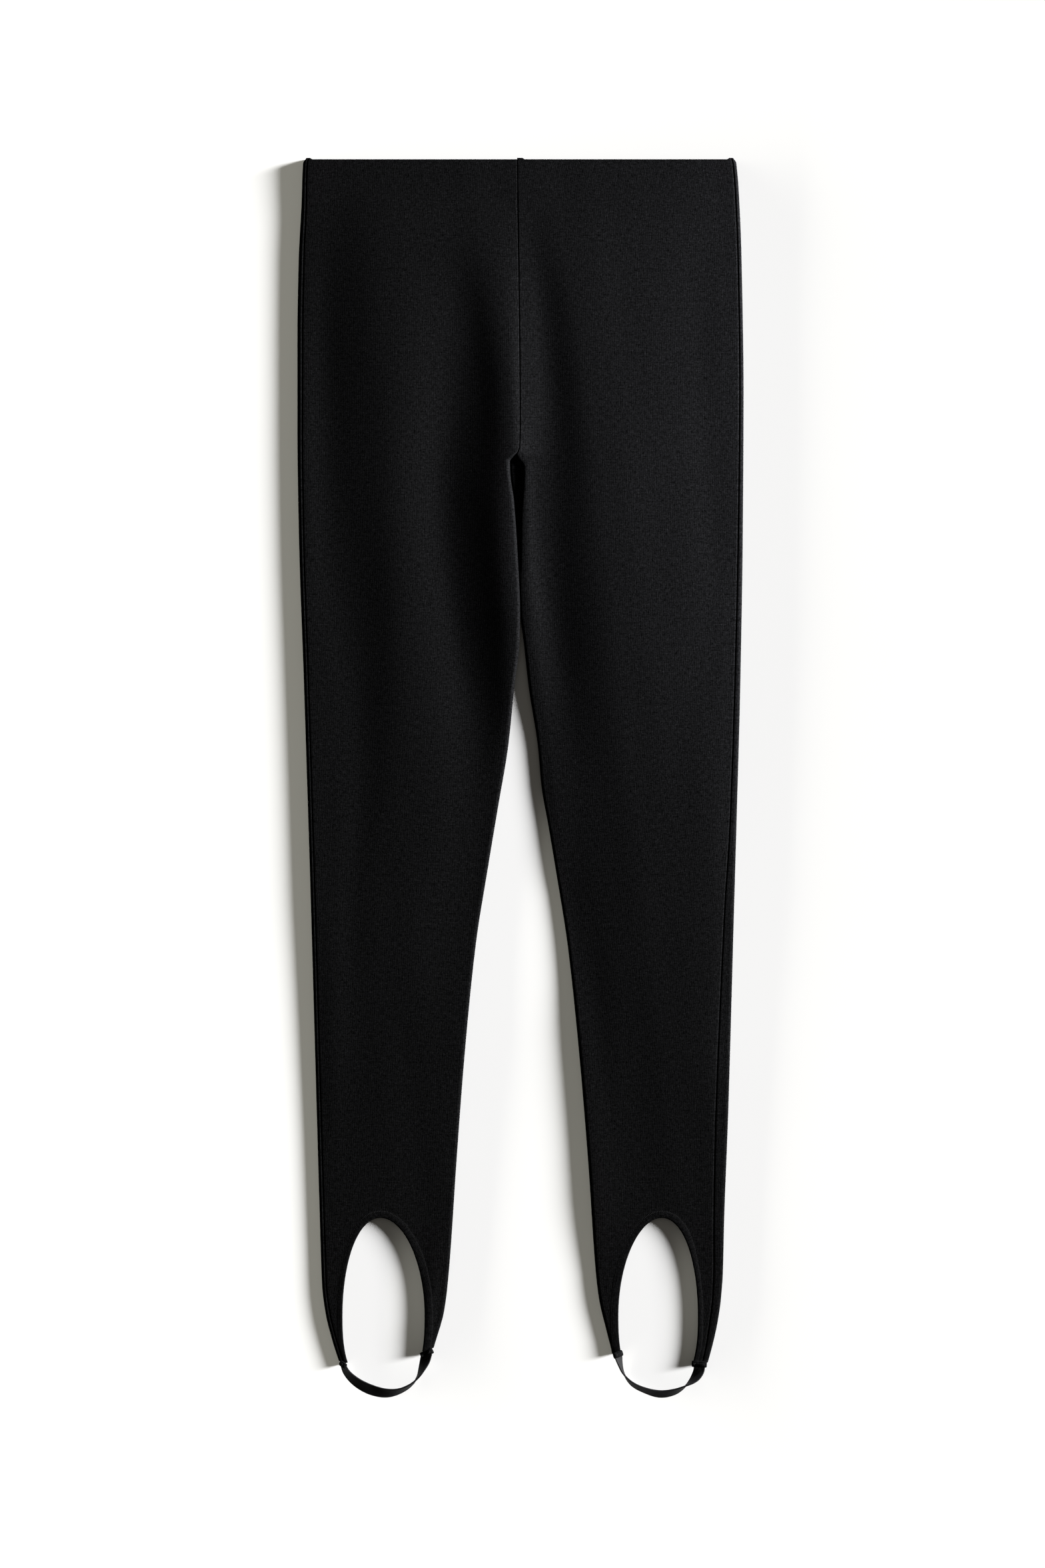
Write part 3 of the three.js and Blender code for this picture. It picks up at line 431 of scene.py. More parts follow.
def nub(leg, x, down):
    """Small rises of the waist edge over the side seams and beside the centre seam."""
    inset = np.abs(x - leg.outer(0))
    beside = np.abs(x - leg.inner(0))
    side = step(*NUB["start"], inset) * (1 - step(*NUB["side"], inset))
    centre = (1 - step(*NUB["centre"], beside)) if leg.name == "left" else 0
    return NUB["height"] * (side + centre) * (1 - step(0, NUB["depth"], down))


def stations():
    """Distances down at which the panels have a row."""
    stretches = table(
        "to step",
        (1.2, 0.2), (4, 0.7), (240, 4), (262, 0.8), (420, 3), (884, 5), (HEM_LEVEL, 2),
    )
    rows = [0.0]
    for part in stretches:
        count = max(1, round((part["to"] - rows[-1]) / part["step"]))
        rows.extend(np.linspace(rows[-1], part["to"], count + 1)[1:])
    return np.array(rows)


# Meshes


def make_mesh(name, points_mm, faces, uv=None):
    """An object whose mesh holds its place, in metres. uv is one pair for each point."""
    mesh = bpy.data.meshes.new(name)
    mesh.from_pydata((np.asarray(points_mm) * MM).tolist(), [], [tuple(face) for face in faces])
    if uv is not None:
        layer = mesh.uv_layers.new(name="cloth")
        corners = np.empty(len(mesh.loops), dtype=np.int32)
        mesh.loops.foreach_get("vertex_index", corners)
        layer.data.foreach_set("uv", (np.asarray(uv)[corners] * MM).astype(np.float32).ravel())
    mesh.polygons.foreach_set("use_smooth", [True] * len(mesh.polygons))
    mesh.update()
    obj = bpy.data.objects.new(name, mesh)
    bpy.context.scene.collection.objects.link(obj)
    return obj


def face_outward(obj):
    """Turns the faces of a closed mesh round if they point in."""
    mesh = obj.data
    mesh.calc_loop_triangles()
    points = np.empty(len(mesh.vertices) * 3)
    mesh.vertices.foreach_get("co", points)
    points = points.reshape(-1, 3)
    corners = np.empty(len(mesh.loop_triangles) * 3, dtype=np.int32)
    mesh.loop_triangles.foreach_get("vertices", corners)
    a, b, c = points[corners.reshape(-1, 3)].transpose(1, 0, 2)
    if np.einsum("ij,ij->i", a, np.cross(b, c)).sum() < 0:
        mesh.flip_normals()


def grid_faces(rows, columns, offset=0, flip=False):
    """Four-sided faces over a grid of points."""
    faces = []
    for i in range(rows - 1):
        for j in range(columns - 1):
            a = offset + i * columns + j
            quad = (a, a + columns, a + columns + 1, a + 1)
            faces.append(quad[::-1] if flip else quad)
    return faces


def tube_faces(rings, around):
    """Faces round a closed tube of rings, with one face over each end."""
    faces = []
    for i in range(rings - 1):
        for j in range(around):
            a, b = i * around + j, i * around + (j + 1) % around
            faces.append((a, b, b + around, a + around))
    faces.append(tuple(range(around))[::-1])
    faces.append(tuple(range((rings - 1) * around, rings * around)))
    return faces


def shell(name, outer, inner, uv):
    """A closed wall between two grids of points of the same size."""
    rows, columns = outer.shape[:2]
    count = rows * columns
    points = np.concatenate([outer.reshape(-1, 3), inner.reshape(-1, 3)])
    faces = grid_faces(rows, columns) + grid_faces(rows, columns, count, flip=True)
    rim = list(range(columns))
    rim += [i * columns + columns - 1 for i in range(1, rows)]
    rim += [(rows - 1) * columns + j for j in range(columns - 2, -1, -1)]
    rim += [i * columns for i in range(rows - 2, 0, -1)]
    for a, b in zip(rim, rim[1:] + rim[:1]):
        faces.append((a, b, b + count, a + count))
    obj = make_mesh(name, points, faces, np.concatenate([uv.reshape(-1, 2)] * 2))
    face_outward(obj)
    return obj


def run_along(values):
    """Distances along a line of points, from 0 at its start."""
    return np.concatenate([[0], np.cumsum(np.linalg.norm(np.diff(values, axis=0), axis=1))])


def panel(name, leg, line):
    """One panel of a leg as a closed shell with a rounded, turned waist edge."""
    down = stations()
    inset, z, normal_x, normal_z = line(leg, down)
    wall = wall_at(down)[:, None]
    radius = wall / 2
    short = np.clip(radius - down[:, None], 0, radius - WAIST_POINT)
    soften = radius - np.sqrt(radius**2 - short**2)

    def place(depth):
        x = leg.outer(down)[:, None] + leg.inward * (inset + normal_x * depth)
        y = LENGTH / 2 - down[:, None] + nub(leg, x, down[:, None])
        return np.stack([x, y, z + normal_z * depth], axis=2)

    girth = np.cumsum(np.hypot(np.diff(inset), np.diff(z)), axis=1)
    u = np.concatenate([np.zeros((len(down), 1)), girth], axis=1)
    uv = np.stack([u, np.broadcast_to(-down[:, None], u.shape)], axis=2)
    return shell(name, place(soften), place(wall - soften), uv)


# The foot opening and its turned hem


def oval_x(name, side, down):
    """x of the opening's border on one side of it, -1 or 1."""
    oval = OVALS[name]
    above = np.clip(OVAL["widest"] - down, 0, OVAL["rise"]) / OVAL["rise"]
    below = np.clip(down - OVAL["widest"], 0, OVAL["fall"]) / OVAL["fall"]
    share = np.sqrt(1 - above**2) * (1 - below ** OVAL["square"]) ** (1 / OVAL["square"])
    return oval["x"] + oval["lean"] * above**2 + side * oval["half"] * share


def seam_ends(name):
    """The two sewn ends of a hem, from smaller to greater x."""
    return sorted((seam for seam in SEWN_ENDS if seam["leg"] == name), key=lambda seam: seam["x"])


BORDER = {"side": 40, "half_arch": 100, "even": 331}  # points along the stretches of the border


def oval_border(name):
    """Points round the opening from one sewn end over the top to the other, evenly spaced."""
    first, second = seam_ends(name)
    widest = OVAL["widest"]
    left = np.linspace(first["down"] - HEM_START, widest, BORDER["side"], endpoint=False)
    turn = np.linspace(-pi / 2, pi / 2, 2 * BORDER["half_arch"] + 1)
    arch = widest - OVAL["rise"] * np.cos(turn)
    right = np.linspace(widest, second["down"] - HEM_START, BORDER["side"])[1:]
    down = np.concatenate([left, arch, right])
    side = np.ones(len(down))
    side[: BORDER["side"] + BORDER["half_arch"] + 1] = -1
    points = np.stack([oval_x(name, side, down), down], axis=1)
    length = run_along(points)
    even = np.linspace(0, length[-1], BORDER["even"])
    return np.stack([np.interp(even, length, points[:, i]) for i in (0, 1)], axis=1), even


def outward_normals(points):
    """Directions from the border into the cloth. The border runs up, over the foot and down again."""
    along = np.gradient(points, axis=0)
    along /= np.hypot(*along.T)[:, None]
    return np.stack([along[:, 1], -along[:, 0]], axis=1)


def hem_width(name, points):
    """How wide the turned hem shows at each point of the border."""
    inward = LEGS[name].inward
    oval = OVALS[name]
    side = np.clip((points[:, 0] - oval["x"]) / oval["half"], -1, 1) * inward
    beside = mix(HEM_NARROW, HEM_WIDE, step(-1, 1, side))
    return mix(HEM_TOP, beside, step(*HEM_CHANGE, points[:, 1]))


ROUND_END = 0.98  # a height on a rounded edge is read no nearer than this to its upright side


def top_surface(leg, x, down):
    """Height of the leg's upper surface at a point, on its folds too."""
    inset = np.abs(x - leg.outer(down))
    start, across, half, top = inside_fold(leg, down)
    z = surface(leg, np.clip(inset, 0, start), down)
    over = np.clip((inset - start) / across, 0, ROUND_END)
    z = np.where(inset > start, top - half + half * np.sqrt(1 - over**2), z)
    edge = np.clip((EDGE_ROLL - inset) / EDGE_ROLL, 0, ROUND_END)
    return np.where(inset < EDGE_ROLL, edge_height(down) / 2 * (1 + np.sqrt(1 - edge**2)), z)


# A hem's section over and under its rounded edge: each point is a share of the hem's width, an offset from
# there, and a height over the hem's face
HEM_OVER = (
    (1, 0.7, -0.75), (1, 0.35, -0.45), (1, -0.1, -0.26), (1, -0.5, -0.2), (1, -0.9, -0.08), (1, -1.6, 0),
    (0.5, 0, 0.06),
)
HEM_UNDER = ((0.5, 0, -HEM_THICK), (1, 0, -HEM_THICK), (1, 0.5, -1.5))


def hem(name, leg, face):
    """The turned hem round a foot opening, on the front or the back panel."""
    border, length = oval_border(leg.name)
    normal = outward_normals(border)
    width = hem_width(leg.name, border)[:, None]
    radius = HEM_THICK / 2
    turn = np.radians(np.linspace(90, 270, 11))
    nose = [(0, radius + radius * cos(a), radius * sin(a) - radius) for a in turn]
    profile = np.array([*HEM_OVER, *nose, *HEM_UNDER])
    distance = profile[None, :, 0] * width + profile[None, :, 1]
    place = border[:, None, :] + normal[:, None, :] * distance[:, :, None]
    x, down = place[:, :, 0], place[:, :, 1]
    if face == "front":
        z = top_surface(leg, x, down) + HEM_LIFT + profile[None, :, 2]
    else:
        z = np.broadcast_to(np.maximum(HEM_THICK + profile[None, :, 2], 0), x.shape)
    points = np.stack([x, LENGTH / 2 - down, z], axis=2)
    uv = np.stack([distance, np.broadcast_to(length[:, None], x.shape)], axis=2)
    obj = make_mesh(name, points.reshape(-1, 3), tube_faces(*x.shape), uv.reshape(-1, 2))
    face_outward(obj)
    return obj


def band_half_width(seam):
    """Half the width of a sewn end, seen from above."""
    lean = radians(seam["lean"])
    return (seam["across"] * abs(cos(lean)) + seam["through"] * sin(lean)) / 2


def band_half_height(seam):
    """Half the height of a sewn end, which is how high its middle lies over the floor."""
    lean = radians(seam["lean"])
    return (seam["across"] * sin(lean) + seam["through"] * abs(cos(lean))) / 2


# The cut for the opening lies this far under the hem and inside the sewn ends, takes every third point of
# the border between its ends, and reaches well beyond the cloth
CUT = {"under_hem": 2.2, "skip": 12, "every": 3, "beyond": 20, "sunk": 1.2, "bottom": -10, "top": 30}


def hem_cutter(leg):
    """A block that takes away the foot opening and everything past the sewn ends."""
    border, _ = oval_border(leg.name)
    under_hem = border + outward_normals(border) * CUT["under_hem"]
    inside = under_hem[CUT["skip"]:-CUT["skip"]:CUT["every"]]
    first, second = seam_ends(leg.name)
    beyond = CUT["beyond"]

    def beside(seam, across):
        """A point at the upper side of a sewn end, this far across from its middle."""
        along = seam["along"] / 2 - CUT["sunk"]
        turn = radians(seam["turn"])
        x = seam["x"] + across * cos(turn) - along * sin(turn)
        return x, seam["down"] - across * sin(turn) - along * cos(turn)

    lowest = LENGTH + beyond
    outline = [
        (first["x"] - beyond, lowest),
        beside(first, -beyond),
        beside(first, band_half_width(first) - BAND_OVERLAP),
        *(tuple(point) for point in inside),
        beside(second, BAND_OVERLAP - band_half_width(second)),
        beside(second, beyond),
        (second["x"] + beyond, lowest),
    ]
    count = len(outline)
    points = [(x, LENGTH / 2 - down, z) for z in (CUT["bottom"], CUT["top"]) for x, down in outline]
    faces = [tuple(range(count)), tuple(range(2 * count - 1, count - 1, -1))]
    for i in range(count):
        j = (i + 1) % count
        faces.append((i, i + count, j + count, j))
    block = make_mesh(f"cutter_{leg.name}", points, faces)
    face_outward(block)
    return block


def cut(obj, block):
    """Takes the block's place out of the object."""
    modifier = obj.modifiers.new("opening", "BOOLEAN")
    modifier.operation = "DIFFERENCE"
    modifier.solver = "EXACT"
    modifier.object = block
    apply_modifiers(obj)


def apply_modifiers(obj):
    """The evaluated mesh takes the place of the object's own, with no modifier left."""
    graph = bpy.context.evaluated_depsgraph_get()
    mesh = bpy.data.meshes.new_from_object(obj.evaluated_get(graph))
    old = obj.data
    obj.modifiers.clear()
    obj.data = mesh
    bpy.data.meshes.remove(old)
    mesh.name = obj.name


# Straps and their sewn ends

# How a strap is made: its rings and points, then in shares of its sizes its rounded edges, the cord along
# each of them and the ribs between, and the rows of its weft
STRAP = {
    "rings": 260, "points": 41, "square": 14, "body": 0.86,
    "cord": 0.24, "cord_at": 0.88, "cord_width": 0.07,
    "rib": 0.05, "ribs": 9, "ribs_to": 0.78, "weft": 0.05, "weft_pitch": 1.1,
}


def rest_height(lean):
    """Height of the middle of a strap that rests on the floor with this lean."""
    return (STRAP_WIDTH * sin(radians(lean)) + STRAP_THICK * abs(cos(radians(lean)))) / 2


def smooth_path(points, count):
    """Points on a smooth curve through the given ones, smooth in the fourth column too."""
    points = np.asarray(points, float)
    knots = np.concatenate([[0], np.cumsum(np.linalg.norm(np.diff(points[:, :3], axis=0), axis=1) ** 0.5)])
    ends = np.concatenate([2 * points[:1] - points[1:2], points, 2 * points[-1:] - points[-2:-1]])
    times = np.concatenate([[-knots[1]], knots, [2 * knots[-1] - knots[-2]]])
    out = []
    for t in np.linspace(0, knots[-1], count):
        i = int(np.clip(np.searchsorted(knots, t, side="right") - 1, 0, len(points) - 2)) + 1
        t0, t1, t2, t3 = times[i - 1:i + 3]
        p0, p1, p2, p3 = ends[i - 1:i + 3]
        a1 = p0 * (t1 - t) / (t1 - t0) + p1 * (t - t0) / (t1 - t0)
        a2 = p1 * (t2 - t) / (t2 - t1) + p2 * (t - t1) / (t2 - t1)
        a3 = p2 * (t3 - t) / (t3 - t2) + p3 * (t - t2) / (t3 - t2)
        b1 = a1 * (t2 - t) / (t2 - t0) + a2 * (t - t0) / (t2 - t0)
        b2 = a2 * (t3 - t) / (t3 - t1) + a3 * (t - t1) / (t3 - t1)
        out.append(b1 * (t2 - t) / (t2 - t1) + b2 * (t - t1) / (t2 - t1))
    return np.array(out)


def strap(name, leg_name):
    """A narrow woven elastic with a cord along each edge and fine ribs between."""
    first, second = seam_ends(leg_name)
    rows = [(first["x"], LENGTH / 2 - first["down"], band_half_height(first), first["lean"])]
    for row in STRAPS[leg_name]:
        z = rest_height(row["lean"]) + row["lift"]
        rows.append((row["x"], LENGTH / 2 - row["down"], z, row["lean"]))
    rows.append((second["x"], LENGTH / 2 - second["down"], band_half_height(second), second["lean"]))
    path = smooth_path(rows, STRAP["rings"])
    length = run_along(path[:, :3])
    ahead = np.gradient(path[:, :3], axis=0)
    ahead /= np.linalg.norm(ahead, axis=1)[:, None]
    outward = np.stack([ahead[:, 1], -ahead[:, 0], 0 * ahead[:, 0]], axis=1)
    outward /= np.linalg.norm(outward, axis=1)[:, None]
    raised = np.cross(outward, ahead)
    lean = np.radians(path[:, 3])[:, None]
    across = outward * np.cos(lean) + raised * np.sin(lean)
    through = np.cross(ahead, across)
    half = STRAP_WIDTH / 2
    cross = np.linspace(-1, 1, STRAP["points"])
    edge = STRAP_THICK / 2 * (1 - np.abs(cross) ** STRAP["square"]) ** 0.5
    cord = STRAP["cord"] * np.exp(-(((np.abs(cross) - STRAP["cord_at"]) / STRAP["cord_width"]) ** 2))
    rib = STRAP["rib"] * np.cos(cross * pi * STRAP["ribs"]) * (np.abs(cross) < STRAP["ribs_to"])
    thick = edge * (STRAP["body"] + cord + rib)
    top = [(c * half, t) for c, t in zip(cross, thick)]
    bottom = [(c * half, -t) for c, t in zip(cross[::-1], thick[::-1])][1:-1]
    section = np.array(top + bottom)
    weft = 1 + STRAP["weft"] * np.sin(tau * length / STRAP["weft_pitch"])[:, None, None]
    points = (
        path[:, None, :3]
        + across[:, None, :] * section[None, :, :1]
        + through[:, None, :] * (section[None, :, 1:] * weft)
    )
    size = points.shape[:2]
    u, v = section[None, :, 0], length[:, None]
    uv = np.stack([np.broadcast_to(u, size), np.broadcast_to(v, size)], axis=2)
    obj = make_mesh(name, points.reshape(-1, 3), tube_faces(*size), uv.reshape(-1, 2))
    face_outward(obj)
    return obj


def seam_matrix(seam):
    """From a sewn end's own axes (across, along, through) to the garment's, in millimetres."""
    sign = -1 if seam is seam_ends(seam["leg"])[0] else 1
    place = Vector((seam["x"], LENGTH / 2 - seam["down"], band_half_height(seam)))
    turn = Matrix.Rotation(radians(seam["turn"]), 4, "Z")
    lean = Matrix.Rotation(radians(-sign * seam["lean"]), 4, "Y")
    return Matrix.Translation(place) @ turn @ lean


# How a sewn end is made: its points round it and along it, the powers that round its section, and in shares
# of its sizes its narrower ends, its ridge and the grooves beside it, its pinched edges and its creases
BAND = {
    "around": 40, "along": 17, "rim": 5, "across": 0.62, "through": 0.7, "taper": 0.1, "end": 0.36,
    "ridge": 0.12, "ridge_width": 0.34, "groove": 0.07, "groove_at": 0.62, "groove_width": 0.16,
    "pinch": 0.22, "pinch_power": 8, "crease": 0.04, "creases": 5, "crease_turn": 3,
}


def sewn_end(name, seam):
    """The hem point folded over the strap: a soft rounded band with a ridge and pinched ends."""
    around, along = BAND["around"], BAND["along"]
    matrix = seam_matrix(seam)
    points, uv = [], []
    for i in range(along):
        t = -1 + 2 * i / (along - 1)
        rim = (1 - abs(t) ** BAND["rim"]) ** 0.5 if abs(t) < 1 else 0
        ridge = BAND["ridge"] * np.exp(-((t / BAND["ridge_width"]) ** 2))
        groove = BAND["groove"] * np.exp(-(((abs(t) - BAND["groove_at"]) / BAND["groove_width"]) ** 2))
        narrow = mix(1 - BAND["taper"], 1, rim)
        swell = mix(BAND["end"], 1, rim) + ridge - groove
        for j in range(around):
            angle = tau * j / around
            c, s = cos(angle), sin(angle)
            crease = BAND["crease"] * sin(BAND["creases"] * angle + BAND["crease_turn"] * t)
            pinch = 1 - BAND["pinch"] * abs(c) ** BAND["pinch_power"] + crease
            across = np.sign(c) * abs(c) ** BAND["across"] * (seam["across"] / 2) * narrow
            through = np.sign(s) * abs(s) ** BAND["through"] * (seam["through"] / 2) * swell * pinch
            points.append(tuple(matrix @ Vector((across, t * seam["along"] / 2, through))))
            uv.append((angle * seam["across"] / pi, t * seam["along"] / 2))
    obj = make_mesh(name, points, tube_faces(along, around), uv)
    face_outward(obj)
    return obj


# Stitches, set along a line by Geometry Nodes

THREAD_SEGMENTS = 6
THREAD_RINGS = 5
NEEDLE_MARK = {"Thread length": 1.7 * MM, "Thread radius": 0.17 * MM, "Uneven": 0.2, "Seed": 11}
BARTACK = {"Thread length": 2.3 * MM, "Thread radius": 0.18 * MM, "Uneven": 0.25, "Seed": 3}


def stitch_tree():
    """A tree that sets one small thread on every point of a line, turned by the line's own values."""
    tree = bpy.data.node_groups.new("stitches_on_a_line", "GeometryNodeTree")
    face = tree.interface
    face.new_socket("Line", in_out="INPUT", socket_type="NodeSocketGeometry")
    for name in ("Thread length", "Thread radius", "Uneven"):
        face.new_socket(name, in_out="INPUT", socket_type="NodeSocketFloat")
    face.new_socket("Seed", in_out="INPUT", socket_type="NodeSocketInt")
    face.new_socket("Thread", in_out="INPUT", socket_type="NodeSocketMaterial")
    face.new_socket("Stitches", in_out="OUTPUT", socket_type="NodeSocketGeometry")
    nodes, links = tree.nodes, tree.links
    start = nodes.new("NodeGroupInput")
    end = nodes.new("NodeGroupOutput")

    sphere = nodes.new("GeometryNodeMeshUVSphere")
    sphere.inputs["Segments"].default_value = THREAD_SEGMENTS
    sphere.inputs["Rings"].default_value = THREAD_RINGS
    sphere.inputs["Radius"].default_value = 1.0

    thickness = nodes.new("ShaderNodeCombineXYZ")
    half = nodes.new("ShaderNodeMath")
    half.operation = "MULTIPLY"
    half.inputs[1].default_value = 0.5
    links.new(start.outputs["Thread length"], half.inputs[0])
    links.new(half.outputs[0], thickness.inputs["X"])
    links.new(start.outputs["Thread radius"], thickness.inputs["Y"])
    links.new(start.outputs["Thread radius"], thickness.inputs["Z"])

    low = nodes.new("ShaderNodeMath")
    low.operation = "SUBTRACT"
    low.inputs[0].default_value = 1.0
    high = nodes.new("ShaderNodeMath")
    high.operation = "ADD"
    high.inputs[0].default_value = 1.0
    links.new(start.outputs["Uneven"], low.inputs[1])
    links.new(start.outputs["Uneven"], high.inputs[1])
    chance = nodes.new("FunctionNodeRandomValue")
    chance.data_type = "FLOAT"
    links.new(low.outputs[0], chance.inputs[2])
    links.new(high.outputs[0], chance.inputs[3])
    links.new(start.outputs["Seed"], chance.inputs["Seed"])
    scale = nodes.new("ShaderNodeVectorMath")
    scale.operation = "SCALE"
    links.new(thickness.outputs[0], scale.inputs[0])
    links.new(chance.outputs[1], scale.inputs["Scale"])

    turn = nodes.new("GeometryNodeInputNamedAttribute")
    turn.data_type = "FLOAT_VECTOR"
    turn.inputs["Name"].default_value = "turn"
    place = nodes.new("GeometryNodeInstanceOnPoints")
    links.new(start.outputs["Line"], place.inputs["Points"])
    links.new(sphere.outputs["Mesh"], place.inputs["Instance"])
    links.new(turn.outputs[0], place.inputs["Rotation"])
    links.new(scale.outputs[0], place.inputs["Scale"])

    real = nodes.new("GeometryNodeRealizeInstances")
    smooth = nodes.new("GeometryNodeSetShadeSmooth")
    finish = nodes.new("GeometryNodeSetMaterial")
    links.new(place.outputs[0], real.inputs[0])
    links.new(real.outputs[0], smooth.inputs["Geometry"])
    links.new(smooth.outputs[0], finish.inputs["Geometry"])
    links.new(start.outputs["Thread"], finish.inputs["Material"])
    links.new(finish.outputs[0], end.inputs[0])
    return tree


def stitches(name, places, directions, values, material):
    """Threads at the given places (millimetres), each lying along its direction."""
    mesh = bpy.data.meshes.new(name)
    mesh.from_pydata([tuple(MM * v for v in place) for place in places], [], [])
    turns = mesh.attributes.new("turn", "FLOAT_VECTOR", "POINT")
    flat = []
    for direction in directions:
        flat.extend(Vector(direction).to_track_quat("X", "Z").to_euler("XYZ"))
    turns.data.foreach_set("vector", flat)
    obj = bpy.data.objects.new(name, mesh)
    bpy.context.scene.collection.objects.link(obj)
    modifier = obj.modifiers.new("stitches", "NODES")
    modifier.node_group = STITCHES
    keys = {item.name: item.identifier for item in STITCHES.interface.items_tree if item.in_out == "INPUT"}
    for key, value in values.items():
        modifier[keys[key]] = value
    modifier[keys["Thread"]] = material
    apply_modifiers(obj)
    return obj


# Materials

# Sizes are in metres, and noise scales count for each metre. A share is how much a pattern adds to the tone,
# a height how much it adds to the relief, and "rough" is the lowest roughness and what the grain adds to it.
KNIT_SIZE = {"wale": 0.00082, "course": 0.00062, "relief": 0.00014, "nap": 0.00012}
KNIT_GRAIN = {"fine": 780, "long": 480, "wobble": 900, "broad": 9, "nap": 260}
KNIT_STRETCH = {"threads": (1.6, 0.5, 1), "rows": (0.4, 1.7, 1)}
KNIT_SHARE = {"fine": 0.46, "threads": 0.3, "rows": 0.24, "broad": 0.04}
KNIT_HEIGHT = {"curve": 3.2, "loop": 0.28, "wobble": 0.9}
KNIT_FACE = {"rough": (0.8, 0.16), "shine": 0.01}
ELASTIC_SIZE = {"rib": 0.0011, "row": 0.0007, "relief": 0.00012}
ELASTIC_GRAIN = 1100
ELASTIC_SHARE = 0.12
ELASTIC_HEIGHT = {"weave": 0.5, "rib": 0.5}
ELASTIC_FACE = {"rough": (0.5, 0.2), "shine": 0.08}
THREAD_TWIST = 2600
THREAD_FACE = {"rough": (0.4, 0.3), "shine": 0.06}
FLOOR_CLOUDS = 3
FLOOR_FACE = {"rough": 0.9, "shine": 0.1}


class Finish:
    """A material under construction, with short calls for the nodes that it needs."""

    def __init__(self, name):
        self.material = bpy.data.materials.new(name)
        self.material.use_nodes = True
        self.nodes = self.material.node_tree.nodes
        self.links = self.material.node_tree.links
        self.shader = self.nodes["Principled BSDF"]

    def link(self, source, target):
        if isinstance(source, (int, float)):
            target.default_value = source
        else:
            self.links.new(source, target)

    def math(self, operation, a, b=0.0):
        node = self.nodes.new("ShaderNodeMath")
        node.operation = operation
        self.link(a, node.inputs[0])
        self.link(b, node.inputs[1])
        return node.outputs[0]

    def scaled_sum(self, *terms):
        """The sum of sockets, each times its share."""
        total = None
        for socket, share in terms:
            part = self.math("MULTIPLY", socket, share)
            total = part if total is None else self.math("ADD", total, part)
        return total

    def wave(self, value, pitch):
        return self.math("SINE", self.math("MULTIPLY", value, tau / pitch))

    def uv(self):
        """The cloth's own map, whole and as its two lengths in metres."""
        node = self.nodes.new("ShaderNodeUVMap")
        node.uv_map = "cloth"
        split = self.nodes.new("ShaderNodeSeparateXYZ")
        self.links.new(node.outputs[0], split.inputs[0])
        return node.outputs[0], split.outputs[0], split.outputs[1]

    def place(self):
        """Places on the object, in metres."""
        return self.nodes.new("ShaderNodeTexCoord").outputs["Object"]

    def noise(self, vector, scale, detail=3.0, rough=0.55, stretch=None):
        if stretch:
            mapping = self.nodes.new("ShaderNodeMapping")
            mapping.inputs["Scale"].default_value = stretch
            self.links.new(vector, mapping.inputs["Vector"])
            vector = mapping.outputs[0]
        node = self.nodes.new("ShaderNodeTexNoise")
        node.inputs["Scale"].default_value = scale
        node.inputs["Detail"].default_value = detail
        node.inputs["Roughness"].default_value = rough
        self.links.new(vector, node.inputs["Vector"])
        return node.outputs[0]

    def ramp(self, value, *stops):
        node = self.nodes.new("ShaderNodeValToRGB")
        items = node.color_ramp.elements
        while len(items) < len(stops):
            items.new(0.5)
        for item, (at, colour) in zip(items, stops):
            item.position = at
            item.color = (*colour, 1)
        self.links.new(value, node.inputs[0])
        return node.outputs[0]

    def bump(self, height, distance, strength=1.0, normal=None):
        node = self.nodes.new("ShaderNodeBump")
        node.inputs["Distance"].default_value = distance
        node.inputs["Strength"].default_value = strength
        self.links.new(height, node.inputs["Height"])
        if normal is not None:
            self.links.new(normal, node.inputs["Normal"])
        return node.outputs[0]

    def complete(self, colour, face, grain=None, normal=None):
        """Colour, roughness, shine and relief go to the shader, and the material is returned."""
        inputs = self.shader.inputs
        self.links.new(colour, inputs["Base Color"])
        rough = face["rough"]
        if grain is not None:
            lowest, share = rough
            rough = self.math("ADD", self.math("MULTIPLY", grain, share), lowest)
        self.link(rough, inputs["Roughness"])
        inputs["Specular IOR Level"].default_value = face["shine"]
        if normal is not None:
            self.links.new(normal, inputs["Normal"])
        return self.material


